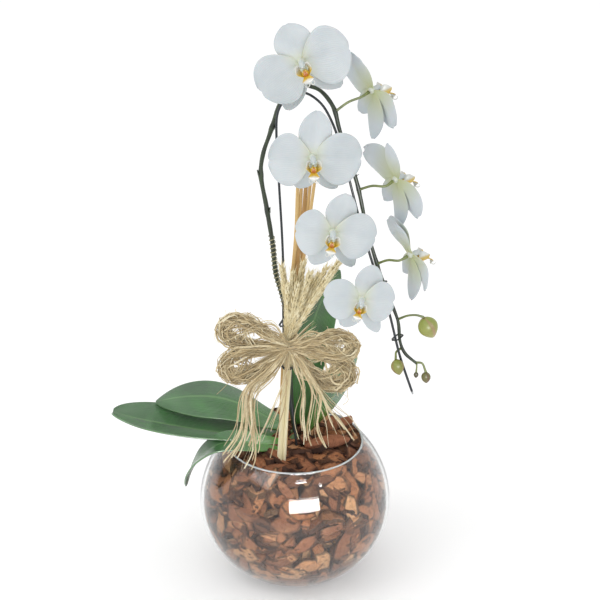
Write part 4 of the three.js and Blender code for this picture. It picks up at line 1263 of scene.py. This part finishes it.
@dataclass
class Sheaf(Drawn):
    """Wheat ears over a bundle of straws, tall flat straws behind, and the wire round them."""

    foot: Triple = (-14, -42, 118)
    surface: Triple = (-12.6, -40.8, 160)
    knot: Triple = (-5.6, -34, 278.7)
    bundle_radius: float = 4.9
    straw_radius: float = 1.35
    ear_length: float = 74
    binding_height: float = 253.2
    ears: tuple[Triple, ...] = (
        (-13.2, -30, 367), (-1.5, -36, 362), (9.6, -30, 370), (17.2, -44, 365), (26.6, -33, 358),
        (45.6, -46, 375), (34, -35, 366), (4.5, -43, 352), (-6.5, -38, 350), (21, -30, 352), (13, -40, 346),
        (39, -40, 362), (29, -42, 348),
    )
    gold: tuple[Triple, ...] = (
        (3.6, 458, 1.8), (8, 466, 1.7), (13.4, 470, 2), (18.4, 474, 1.6), (22.6, 468, 1.6),
    )
    spikelets: int = 17
    straws: int = 19
    straw_rings: int = 26
    binding_turns: int = 2
    binding_radius: float = 0.55
    draws: random.Random = field(default_factory=lambda: random.Random(11))

    def _bundle_route(self) -> Route:
        """Gives the middle line of the straws."""
        return Route([self.foot, self.surface, (-8.8, -37, 222), (-6.6, -34.8, 253.2), self.knot,
                      (-5, -34, 296)])

    def _grain(self) -> Mesh:
        """Builds one husk: a long pointed seed."""
        bm = bmesh.new()
        bmesh.ops.create_cone(bm, cap_ends=True, segments=6, radius1=0.35, radius2=0.12, depth=8)
        sides = [e for e in bm.edges if abs(e.verts[0].co.z - e.verts[1].co.z) > 1]
        bmesh.ops.subdivide_edges(bm, edges=sides, cuts=3)
        for vert in bm.verts:
            share = vert.co.z / 8 + 0.5
            swell = 1 + 4.6 * math.sin(math.pi * min(1, share * 1.12)) ** 0.9 * (1 - 0.45 * share)
            vert.co.x *= swell
            vert.co.y *= swell * 0.8
            vert.co.z += 4
        return bm

    def _ear(self, tip: Vector, foot: Vector, whole: Mesh, hairs: Strands) -> None:
        """Builds an ear: rows of husks up both sides of a stalk, each with its hair."""
        axis = (tip - foot).normalized()
        start = tip - axis * self.ear_length
        side = axis.cross(Vector((0, 1, 0))).normalized()
        front = side.cross(axis)
        spin = Matrix.Rotation(self.draw(-0.9, 0.9), 3, axis)
        side, front = spin @ side, spin @ front
        ear = bmesh.new()
        for row in range(self.spikelets):
            share = row / (self.spikelets - 1)
            spot = start + axis * (self.ear_length - 9) * share
            width = 0.62 + 0.5 * math.sin(math.pi * (0.15 + 0.75 * share))
            for swing in (-1.25, -0.5, 0.35, 1.1, 1.9):
                way = 1 if row % 2 else -1
                turn = swing * 1.25 + (math.pi if way < 0 else 0) + self.draw(-0.2, 0.2)
                outward = side * math.cos(turn) + front * math.sin(turn)
                lean = (axis + outward * self.draw(0.18, 0.32)).normalized()
                size = width * self.draw(0.95, 1.2)
                place = Matrix.Translation(spot + outward * 1.3) @ aim(lean)
                absorb(ear, self._grain(), TO_METRES @ place @ Matrix.Scale(size, 4))
                root = spot + outward * 1.6 + lean * 7 * size
                length = self.draw(3, 9)
                hairs.add([root, root + (lean + outward * 0.08) * length * 0.5,
                           root + (lean + outward * 0.02) * length], [0.16, 0.11, 0.04])
        absorb(whole, ear)

    def _wheat(self, finishes: Finishes) -> None:
        """Builds the ears with their stalks."""
        whole = bmesh.new()
        hairs = Strands("ear_hairs", smoothness=0)
        knot = Vector(self.knot)
        for index, tip in enumerate(self.ears):
            turn = index / len(self.ears) * math.tau
            foot = knot + around(2.6, turn, 8)
            self._ear(Vector(tip), foot, whole, hairs)
            axis = (Vector(tip) - foot).normalized()
            top = Vector(tip) - axis * 8
            hairs.add([knot, foot, top], [1.1, 1.0, 0.45])
        absorb(whole, hairs.bmesh())
        finished(whole, "wheat_ears", finishes.wheat, ["wheat_bundle"])

    def _bundle(self, finishes: Finishes) -> None:
        """Builds the straws between the bark and the knot, split at their feet."""
        line = self._bundle_route()
        strands = Strands("bundle_line", smoothness=2)
        for index in range(self.straws):
            share = (index + 0.4) / self.straws
            reach = (self.bundle_radius - self.straw_radius) * math.sqrt(share)
            turn = index * GOLDEN_TURN
            swerve = self.draw(-0.5, 0.5)
            low = self.draw(0.06, 0.13)
            spots, radii = [], []
            stout = self.straw_radius * (0.85 + 0.3 * ((index * 7) % 5) / 5)
            for step in range(self.straw_rings):
                share = low + (1 - low) * step / (self.straw_rings - 1)
                spread = reach * (1 + 0.35 * max(0.0, 0.3 - share) / 0.3)
                angle = turn + swerve * share * 1.4
                spots.append(line.at(share) + around(spread, angle))
                radii.append(stout * (1 - 0.25 * share))
            strands.add(spots, radii)
        finished(strands.bmesh(), "straw_bundle", finishes.bundle, ["wheat_bundle"])

    def _gold(self, finishes: Finishes) -> None:
        """Builds the flat golden straws, each creased along its middle."""
        whole = bmesh.new()
        for index, (x, top, half) in enumerate(self.gold):
            line = Route([
                (-15.8 + index * 1.4, -30 + (index % 2) * 1.1, 124),
                (-11 + index * 1.6, -22.5 + (index % 2) * 1.1, 262),
                ((x - 2) * 0.55, -19 + index % 2, 380), (x, -17, top),
            ])

            def place(u: float, v: float) -> Vector:
                """Gives a point of the straw."""
                width = half * (1 - 0.3 * max(0.0, v - 0.9) * 10)
                ripple = 0.25 * math.sin(v * 40 + index * 2)
                return line.at(v) + Vector((u * width, 0.55 * abs(u) + ripple * u, 0))

            straw = sheet(6, 40, place, 0.7)
            absorb(whole, straw, TO_METRES)
        finished(whole, "tall_gold_straws", finishes.gold, ["gold_straws"], 1)

    def _binding(self, finishes: Finishes) -> None:
        """Twists dark wire round the straws and leaves an end free."""
        strands = Strands("binding_line", smoothness=3)
        middle = Vector((-6.4, -34.6, self.binding_height))
        reach = self.bundle_radius + 0.75
        spots = []
        for index in range(72):
            share = index / 71
            turn = share * self.binding_turns * math.tau + math.pi / 2
            spots.append(middle + around(reach, turn, 3.2 * share - 1.6))
        strands.add(spots, self.binding_radius)
        end = Route([middle + Vector((-4.6, -3.4, 0.8)), middle + Vector((-6.6, -5.2, 2.2)),
                     middle + Vector((-7.4, -5.2, 3.2))])
        strands.add(end.spots(10), 0.5)
        finished(strands.bmesh(), "binding_twist", finishes.wire, ["binding_wire"])

    def build(self, finishes: Finishes) -> None:
        """Builds every piece of the sheaf.

        Args:
            finishes: The object's materials.
        """
        self._wheat(finishes)
        self._bundle(finishes)
        self._gold(finishes)
        self._binding(finishes)


@dataclass(frozen=True)
class Loop:
    """One loop of the bow: where its far end is from the heart, its half width and depth."""

    end: tuple[float, float]
    half: float
    depth: float


@dataclass
class RaffiaBow(Drawn):
    """A bow of many flat fibres: four loops, a knot, hanging tails and stray hairs."""

    heart: Triple = (-5.2, -44.5, 280)
    loops: tuple[Loop, ...] = (
        Loop((-70, 27), 19, -7), Loop((-70, -24), 19, -11),
        Loop((69, 4), 17, -9), Loop((64, -38), 22, -6),
    )
    strands_per_loop: int = 90
    crossings_per_loop: int = 26
    tails: tuple[tuple[Triple, ...], ...] = (
        ((-24, -52, 262), (-47, -60, 241), (-56, -72, 198), (-80, -70, 160)),
        ((-22, -54, 260), (-44, -61, 240), (-50, -75, 196), (-66, -72, 160)),
        ((-20, -53, 258), (-42, -62, 238), (-44, -77, 190), (-55, -78, 159)),
        ((-18, -52, 256), (-38, -60, 235), (-36, -73, 190), (-42, -76, 162)),
        ((-8, -50, 255), (-16, -55, 222), (-28, -63, 192), (-34, -66, 170)),
        ((2, -52, 262), (6, -58, 240), (4, -60, 205), (8, -62, 172)),
        ((8, -52, 262), (20, -60, 238), (18, -66, 200), (24, -66, 176)),
        ((12, -52, 258), (26, -62, 232), (38, -64, 200), (44, -66, 178)),
        ((14, -54, 256), (34, -64, 226), (50, -64, 206), (62, -66, 184)),
    )
    strands_per_tail: int = 7
    strands_in_knot: int = 22
    strays: int = 16
    lowest: float = 157
    sides: tuple[float, float] = (-84, 66)
    draws: random.Random = field(default_factory=lambda: random.Random(23))

    DROP = (
        (0.0, 0.05, 0), (0.2, 0.3, 0.35), (0.45, 0.68, 0.7), (0.76, 0.98, 1), (0.95, 0.66, 0.85),
        (1, 0, 0.6), (0.95, -0.62, 0.5), (0.76, -0.98, 0.45), (0.45, -0.66, 0.35), (0.2, -0.3, 0.2),
        (0.0, -0.05, 0),
    )

    def _crumple(self, spots: list[Vector], amount: float, size: float = 17) -> list[Vector]:
        """Shakes a strand's points by a smooth random wobble."""
        seed = self.cloud_spot(90)
        return [spot + noise.noise_vector(seed + spot / size) * amount for spot in spots]

    def _loop_strand(self, loop: Loop) -> list[Vector]:
        """Gives one fibre of a loop: out along one edge of a drop shape and back."""
        heart = Vector(self.heart)
        outward = Vector((loop.end[0], 0, loop.end[1]))
        reach = outward.length * self.draw(0.55, 1) ** 0.35
        outward.normalize()
        aside_way = Vector((-outward.z, 0, outward.x)) * self.draws.choice((-1, 1))
        over, under = [loop.half * (0.12 + 0.9 * self.draw(0.05, 1) ** 0.6) for _ in range(2)]
        order = self.draw(-2.5, 4.5)
        route = []
        for out, aside, forward in self.DROP:
            aside *= over if aside > 0 else under
            depth = forward * (loop.depth + order) - order * 0.5
            route.append(heart + outward * (out * reach) + aside_way * aside
                         + Vector((0, depth, 0)))
        return self._crumple(Route(route).spots(27), 5.4)

    def _crossing(self, loop: Loop) -> list[Vector]:
        """Gives a loose fibre that cuts across the inside of a loop."""
        heart = Vector(self.heart)
        outward = Vector((loop.end[0], 0, loop.end[1]))
        aside_way = Vector((-outward.z, 0, outward.x)).normalized()
        side = self.draws.choice((-1, 1))
        far = self.draw(0.7, 1.02)
        spots = [heart]
        for out, aside in ((0.35, 0.7), (0.6, 0.2), (far * 0.9, -0.6), (far, -0.1)):
            swing = side * loop.half * (aside + self.draw(-0.35, 0.35))
            forward = loop.depth * out + self.draw(-3.5, 1)
            spots.append(heart + outward * out + aside_way * swing + Vector((0, forward, 0)))
        return self._crumple(Route(spots).spots(24), 3.4)

    def _add(self, strands: Strands, spots: list[Vector], half: float) -> None:
        """Adds a fibre that shows its flat side, a little turned and twisted."""
        strands.add(spots, half, self.draw(-0.6, 0.6) + math.pi / 2, self.draw(-1.6, 1.6))

    def _loops(self, strands: Strands) -> None:
        """Draws every loop."""
        for loop in self.loops:
            for _ in range(self.strands_per_loop):
                half = self.draws.choice((0.35, 0.4, 0.5, 0.65, 0.85, 1.2))
                self._add(strands, self._loop_strand(loop), half)
            for _ in range(self.crossings_per_loop):
                spots = self._crossing(loop)
                self._add(strands, spots, self.draws.choice((0.35, 0.5, 0.7, 1.0)))

    def _tails(self, strands: Strands) -> None:
        """Draws the hanging ends, which split and curl towards their tips."""
        heart = Vector(self.heart)
        for tail in self.tails:
            for _ in range(self.strands_per_tail):
                spread = Vector([self.draw(-1, 1) for _ in range(3)])
                cut = self.draw(0.78, 1.0)
                route = [heart + spread * 0.8]
                for index, spot in enumerate(tail):
                    route.append(Vector(spot) + spread * (1.2 + index * 2.9))
                route[-1].z = max(route[-1].z, self.lowest)
                spots = self._crumple(Route(route).spots(26, 0, cut), 4, 34)
                half = self.draws.choice((0.4, 0.6, 0.8, 1.1, 1.5))
                radii = [half * (1 - 0.45 * i / 25) for i in range(26)]
                strands.add(spots, radii, self.draw(0, 3), self.draw(-2, 2))

    def _strays(self, strands: Strands) -> None:
        """Draws the thin fibres that stand out of the bow and the spiky tuft right of the knot."""
        heart = Vector(self.heart)
        for _ in range(self.strays):
            tip = heart + Vector((self.draw(16, 34), self.draw(2, 8), self.draw(10, 25)))
            bend = heart.lerp(tip, 0.6) + Vector((0, 0, self.draw(-3, 3)))
            strands.add(Route([heart, bend, tip]).spots(10), [0.7 - 0.06 * i for i in range(10)],
                        self.draw(0, 3))
        for loop in self.loops:
            for _ in range(self.strays):
                out = self.draw(0.45, 0.95)
                base = heart + Vector((loop.end[0] * out, loop.depth * 0.7, loop.end[1] * out))
                swing = self.draw(-1, 1) * loop.half
                start = base + Vector((0, 0, swing))
                upward = 1 if swing > 0 else -1
                reach = self.draw(4, 11)
                bend = Vector((self.draw(-1, 1) * 14, self.draw(-5, 3), upward * reach))
                end = start + bend + Vector((self.draw(-6, 6), 0, upward * reach * 0.3))
                end.x = min(max(end.x, self.sides[0]), self.sides[1])
                strands.add(Route([base, start, start + bend * 0.6, end]).spots(16), 0.32,
                            self.draw(0, 3))

    def _knot(self, strands: Strands) -> None:
        """Winds fibres round the bundle and over the heart."""
        middle = Vector((-5.5, -34.2, 280))
        for _ in range(self.strands_in_knot):
            height = self.draw(-5.5, 5.5)
            lean = self.draw(-3.5, 3.5)
            reach = 7.6 + self.draw(0, 1.8)
            front = 12.5 - 0.28 * abs(height) + self.draw(-1.5, 0.6)
            spots = []
            for step in range(30):
                turn = step / 30 * math.tau
                deep = front if math.sin(turn) < 0 else reach
                spots.append(middle + Vector((reach * math.cos(turn), deep * math.sin(turn),
                                              height + lean * math.cos(turn))))
            strands.add(spots, self.draw(0.9, 1.9), math.pi / 2 + self.draw(-0.3, 0.3),
                        closed=True)

    def build(self, finishes: Finishes) -> None:
        """Builds the bow.

        Args:
            finishes: The object's materials.
        """
        strands = Strands("bow_line", Section.FLAT, smoothness=0)
        self._loops(strands)
        self._tails(strands)
        self._strays(strands)
        self._knot(strands)
        finished(strands.bmesh(), "bow_fibres", finishes.raffia, ["raffia_bow"])


@dataclass
class FishBowl:
    """The blown glass bowl: flat ground, two half ellipses and a rim with a fire-polished bead."""

    radius: float = 100
    equator: float = 80
    lower_half: float = 89
    rim_height: float = 151.5
    wall: float = 3
    floor: float = 5
    bands: int = 44
    turns: int = 128
    rim_steps: int = 8
    bead_radius: float = 0.9
    bead_rise: float = 0.7

    GAP = 0.5

    def outside(self, height: float) -> float:
        """Gives the outside radius at a height."""
        offset = height - self.equator
        half_axis = self.lower_half if offset < 0 else self.radius
        return self.radius * math.sqrt(max(0.0, 1 - (offset / half_axis) ** 2))

    def inside(self, height: float) -> float:
        """Gives the radius that is free inside the glass at a height."""
        return self.outside(height) - self.wall - self.GAP

    def build(self, finishes: Finishes) -> None:
        """Spins the wall's section into the bowl and lays the bead on its rim, whose milky white glass
        paints the rim's bright line.

        Args:
            finishes: The object's materials.
        """
        rim_top = self.rim_height - self.wall / 2
        profile = [Vector((0, 0, 0)), Vector((self.outside(0) * 0.5, 0, 0))]
        for index in range(self.bands + 1):
            height = rim_top * (1 - math.cos(math.pi * index / self.bands)) / 2
            profile.append(Vector((self.outside(height), 0, height)))
        rim_middle = self.outside(rim_top) - self.wall / 2
        for index in range(1, self.rim_steps):
            turn = math.pi * index / self.rim_steps
            profile.append(Vector((rim_middle + self.wall / 2 * math.cos(turn), 0,
                                   rim_top + self.wall / 2 * math.sin(turn))))
        for index in range(self.bands + 1):
            share = (1 + math.cos(math.pi * index / self.bands)) / 2
            height = self.floor + (rim_top - self.floor) * share
            profile.append(Vector((self.outside(height) - self.wall, 0, height)))
        profile.append(Vector((0, 0, self.floor)))
        bm = bmesh.new()
        verts = [bm.verts.new(spot * MM) for spot in profile]
        edges = [bm.edges.new(pair) for pair in zip(verts, verts[1:])]
        bmesh.ops.spin(bm, geom=verts + edges, cent=Vector(), axis=UP, angle=math.tau,
                       steps=self.turns, use_merge=True)
        bmesh.ops.remove_doubles(bm, verts=bm.verts, dist=0.01 * MM)
        bmesh.ops.recalc_face_normals(bm, faces=bm.faces)
        finished(bm, "fish_bowl", finishes.glass, ["glass_bowl"])
        # The bead's milky white glass paints the rim's bright line of light.
        bead = Strands("rim_bead", smoothness=2)
        circle = [around(rim_middle, math.tau * index / self.turns, rim_top + self.bead_rise)
                  for index in range(self.turns)]
        bead.add(circle, self.bead_radius, closed=True)
        finished(bead.bmesh(), "bowl_rim", finishes.rim, ["glass_bowl"])


class Lie(Enum):
    """How a chip lies: flat against the glass, edge on to it, or flat on the heap."""

    AGAINST_GLASS = "against glass"
    EDGE_ON = "edge on"
    ON_TOP = "on top"


@dataclass(frozen=True)
class ChipLayer:
    """Many chips that lie alike, with their count, depth behind the glass and sizes."""

    lie: Lie
    count: int
    depth: tuple[float, float]
    tilt: float
    length: tuple[float, float]
    slimness: tuple[float, float] = (0.32, 0.66)


@dataclass(frozen=True)
class BarkLog:
    """One thick log-like piece: its middle, half sizes, and how it is turned and leans."""

    middle: Triple
    radii: Triple
    turn: float
    lean: float


@dataclass
class BarkFill(Drawn):
    """Loose bark chips pressed against the glass and heaped round the plant."""

    bowl: FishBowl
    top: float = 146
    heap_radius: float = 64
    outer: tuple[ChipLayer, ...] = (
        ChipLayer(Lie.AGAINST_GLASS, 210, (0.5, 4), 20, (22, 38), (0.34, 0.72)),
        ChipLayer(Lie.EDGE_ON, 300, (7, 11), 26, (26, 42)),
    )
    inner: tuple[ChipLayer, ...] = (
        ChipLayer(Lie.EDGE_ON, 110, (15, 20), 40, (30, 46)),
        ChipLayer(Lie.ON_TOP, 130, (0, 0), 34, (20, 34)),
    )
    logs: tuple[BarkLog, ...] = (
        BarkLog((33, -17, 157), (24, 8, 6.5), 12, -4),
        BarkLog((31, -44, 149), (12.5, 6, 5), 14, -8),
        BarkLog((52, 27, 157), (14, 6, 4.5), 20, -12),
    )
    draws: random.Random = field(default_factory=lambda: random.Random(7))

    THICKNESS = (2.4, 5.5)
    BORDER = ((0.25, 0.8), (0.75, 1.05), (0.8, 1.1), (0.15, 0.75))
    HEART_FLOOR = 20
    HEART_GAP = 21

    def _press(self, bm: Mesh) -> Mesh:
        """Keeps every point of a piece inside the glass."""
        for vert in bm.verts:
            vert.co.z = max(vert.co.z, self.bowl.floor + 0.4)
            limit = self.bowl.inside(min(vert.co.z, self.bowl.rim_height))
            reach = math.hypot(vert.co.x, vert.co.y)
            if reach > limit:
                vert.co.x *= limit / reach
                vert.co.y *= limit / reach
        return bm

    def _chip(self, length: float, width: float, depth: float) -> Mesh:
        """Builds a chip: a flaky plate with broken ends, in millimetres."""
        seed = self.cloud_spot(500)
        bend = self.draw(-0.02, 0.03)
        slant = self.draw(-0.5, 0.5)
        borders = [[self.draw(*limits) for limits in self.BORDER] for _ in range(2)]

        def place(u: float, v: float) -> Vector:
            """Gives a point of the plate's middle."""
            w = v * 2 - 1
            border = borders[w > 0]
            knot = min(int((u + 1) * 1.5), 2)
            share = (u + 1) * 1.5 - knot
            side = border[knot] + (border[knot + 1] - border[knot]) * share
            end = 1 + 0.12 * noise.noise(seed + Vector((w * 1.6, 5, 0))) * abs(u)
            x = u * length / 2 * end + slant * w * width / 2
            y = w * width / 2 * side
            relief = 1.1 * noise.noise(seed + Vector((x, y * 2.4, 0)) / 13)
            step = round(2.4 * noise.noise(seed + Vector((x * 0.5, y * 2.2, 30)) / 8)) * 0.6
            return Vector((x, y, relief + step - bend * y * y))

        def edge(u: float, v: float) -> float:
            """Gives the painted shade at a point, darker near the border where the gap beside it would
            shadow it.
            """
            return 4 * max(0.0, max(abs(u), abs(v * 2 - 1)) - 0.8)

        # The stored edge value paints shade along the chip's border.
        bm = sheet(8, 8, place, depth, {"edge": edge})
        for vert in bm.verts:
            vert.co += noise.noise_vector(seed + vert.co / 3.0) * 0.35
        return bm

    def _spot(self, layer: ChipLayer, index: int) -> tuple[Vector, Vector]:
        """Gives a chip's middle and the way its face looks."""
        share = (index + 0.5) / layer.count
        if layer.lie is Lie.ON_TOP:
            reach = self.heap_radius * math.sqrt(share)
            turn = index * GOLDEN_TURN + 1
            heap = 6 * (1 - (reach / self.heap_radius) ** 2)
            return around(reach, turn, self.top + heap + self.draw(-4, 3)), UP
        height = 8 + (self.top - 8) * share
        radius = self.bowl.inside(height) - self.draw(*layer.depth)
        turn = index * GOLDEN_TURN + self.draw(-0.25, 0.25)
        spot = around(radius, turn, height)
        if layer.lie is Lie.EDGE_ON:
            outward = Vector((spot.x, spot.y, 0)).normalized()
            return spot, (UP + outward * self.draw(0.1, 0.9)).normalized()
        return spot, Vector((spot.x, spot.y, height - self.bowl.equator)).normalized()

    def _lay(self, layer: ChipLayer) -> Mesh:
        """Lays every chip of a layer."""
        batch = bmesh.new()
        for index in range(layer.count):
            spot, facing = self._spot(layer, index)
            length = self.draw(*layer.length)
            width = length * self.draw(*layer.slimness)
            chip = self._chip(length, width, self.draw(*self.THICKNESS))
            tilts = [Matrix.Rotation(math.radians(self.draw(-layer.tilt, layer.tilt)), 4, axis)
                     for axis in ("X", "Y")]
            roll = Matrix.Rotation(self.draw(0, math.tau), 4, "Z")
            moved(chip, Matrix.Translation(spot) @ aim(facing) @ tilts[0] @ tilts[1] @ roll)
            absorb(batch, self._press(chip), TO_METRES)
        return batch

    def _log(self, log: BarkLog) -> Mesh:
        """Builds one of the thick log-like pieces on the right of the heap."""
        bm = ball(log.radii, turns=28, rings=20)
        seed = self.cloud_spot(500)
        for vert in bm.verts:
            along_grain = Vector((vert.co.x / 14, vert.co.y / 5, vert.co.z / 5))
            vert.co *= 1 + 0.14 * noise.noise(seed + along_grain)
            vert.co += noise.noise_vector(seed + vert.co / 4) * 0.6
        turned(turned(bm, log.lean, "Y"), log.turn, "Z")
        return moved(self._press(moved(bm, Matrix.Translation(log.middle))))

    def _heart(self) -> Mesh:
        """Builds the dark heart of the heap, a dark mass of painted shade that the gaps between chips look
        onto.
        """
        core = bmesh.new()
        bmesh.ops.create_uvsphere(core, u_segments=64, v_segments=40, radius=1.0)
        for vert in core.verts:
            height = self.HEART_FLOOR + (self.top - 4 - self.HEART_FLOOR) * (vert.co.z + 1) / 2
            level = max(math.hypot(vert.co.x, vert.co.y), 1e-6)
            radius = (self.bowl.inside(height) - self.HEART_GAP) * min(1, level * 2.2)
            spot = Vector((vert.co.x / level * radius, vert.co.y / level * radius, height))
            vert.co = (spot + noise.noise_vector(spot / 9) * 3) * MM
        bmesh.ops.remove_doubles(core, verts=core.verts, dist=0.01 * MM)
        return core

    def build(self, finishes: Finishes) -> None:
        """Builds the chips, the thick pieces and the dark heart of the heap that paints the shade in the
        gaps.

        Args:
            finishes: The object's materials.
        """
        for name, layers in (("bark_at_glass", self.outer), ("bark_heap", self.inner)):
            whole = bmesh.new()
            for layer in layers:
                absorb(whole, self._lay(layer))
            finished(whole, name, finishes.bark, ["bark_chips"], smooth=False)
        pieces = bmesh.new()
        for log in self.logs:
            absorb(pieces, self._log(log))
        finished(pieces, "bark_logs", finishes.bark_log, ["bark_chips"])
        # The dark heart stands in for the shade deep inside the heap.
        finished(self._heart(), "bark_shade_core", finishes.painted_shade_core, ["bark_chips"])


@dataclass
class RootCrown:
    """The short stem that leaves and spike grow from, wrapped in leaf bases."""

    foot: float = 118
    sheaths: tuple[Triple, ...] = (
        (-1, 0.2, 150), (1, 0.4, 152), (-1, 2.2, 157), (1, 2.6, 155),
    )

    def build(self, finishes: Finishes) -> None:
        """Builds the core and the clasping leaf bases.

        Args:
            finishes: The object's materials.
        """
        whole = ball((9.5, 9.5, 19), (0, 0, 138), 24, 16)
        for side, turn, top in self.sheaths:
            def place(u: float, v: float) -> Vector:
                """Gives a point of a leaf base."""
                angle = turn + side * u * 1.3 * (1 - 0.3 * v)
                reach = 9.2 + 1.6 * v - 2.5 * (1 - v) ** 2
                return around(reach, angle, self.foot + (top - self.foot) * v)

            absorb(whole, sheet(10, 8, place, 1.2))
        finished(moved(whole), "leaf_bases", finishes.crown, ["root_crown"], 1)


@dataclass(frozen=True)
class Softbox:
    """One rectangular light: its place, size and target in metres, and its power in watts."""

    name: str
    place: Triple
    size: tuple[float, float]
    power: float
    target: Triple
    mirrored_only: bool = True

    def build(self) -> None:
        """Sets up the light."""
        light = bpy.data.lights.new(self.name, "AREA")
        light.shape = "RECTANGLE"
        light.size, light.size_y = self.size
        light.energy = self.power
        lamp = bpy.data.objects.new(self.name, light)
        lamp.location = self.place
        way = Vector(self.target) - Vector(self.place)
        lamp.rotation_euler = way.to_track_quat("-Z", "Y").to_euler()
        lamp.visible_diffuse = not self.mirrored_only
        bpy.context.scene.collection.objects.link(lamp)


@dataclass(frozen=True)
class Studio:
    """The pale floor, the soft lights and the camera."""

    camera_place: Triple = (0.0053, -1.5018, 0.9911)
    camera_down: float = 24.4
    lens: float = 99
    sensor: float = 36
    air_strength: float = 0.84
    floor_half: float = 14
    floor_glow: float = 0.2
    white: Colour = (1, 1, 1, 1)
    lights: tuple[Softbox, ...] = (
        Softbox("window", (0.39, -1.86, 0.80), (1.3, 0.52), 48, (0.01, -0.09, 0.125)),
        Softbox("long_lamp", (0.193, -1.053, 1.267), (0.34, 0.05), 2, (0.006, -0.077, 0.144)),
        Softbox("small_lamp", (0.798, -0.95, 1.083), (0.08, 0.08), 0.8, (0.026, -0.076, 0.14)),
        Softbox("key", (-1.3, -0.9, 1.9), (1.2, 1.2), 10, (0, -0.05, 0.35), False),
    )

    def _camera(self) -> None:
        """Sets up the camera."""
        scene = bpy.context.scene
        camera = bpy.data.cameras.new("camera")
        camera.lens, camera.sensor_width = self.lens, self.sensor
        holder = bpy.data.objects.new("camera", camera)
        holder.location = self.camera_place
        holder.rotation_euler = (math.radians(90 - self.camera_down), 0, 0)
        scene.collection.objects.link(holder)
        scene.camera = holder

    def _air(self) -> None:
        """Sets up the even light from all around."""
        world = bpy.data.worlds.new("studio_air")
        world.use_nodes = True
        background = world.node_tree.nodes["Background"]
        background.inputs["Color"].default_value = self.white
        background.inputs["Strength"].default_value = self.air_strength
        bpy.context.scene.world = world

    def _floor(self) -> None:
        """Lays the white floor, which takes no part in the object."""
        bm = bmesh.new()
        bmesh.ops.create_grid(bm, x_segments=8, y_segments=8, size=self.floor_half)
        mesh = bpy.data.meshes.new("studio_floor")
        bm.to_mesh(mesh)
        bm.free()
        floor = bpy.data.objects.new("studio_floor", mesh)
        bpy.context.scene.collection.objects.link(floor)
        paper = Recipe("white_paper", 0.9, Emission_Strength=self.floor_glow,
                       Emission_Color=self.white)
        mottle = paper.noise(paper.place(), 3)
        paper.colour(paper.mix(mottle, paint(250, 250, 250), paint(253, 253, 253)))
        mesh.materials.append(paper.material)

    def build(self) -> None:
        """Builds the studio."""
        bpy.context.scene.view_settings.view_transform = "Standard"
        self._camera()
        self._air()
        for light in self.lights:
            light.build()
        self._floor()


def main() -> None:
    """Builds the studio and the object."""
    logging.basicConfig(level=logging.INFO, format="%(message)s")
    noise.seed_set(NOISE_SEED)
    Studio().build()
    finishes = Finishes()
    bowl = FishBowl()
    parts = [bowl, BarkFill(bowl), RootCrown(), *LEAVES, Spike(), *BUDS, *BLOOMS, Sheaf(),
             RaffiaBow()]
    for part in parts:
        part.build(finishes)


if __name__ == "__main__":
    main()
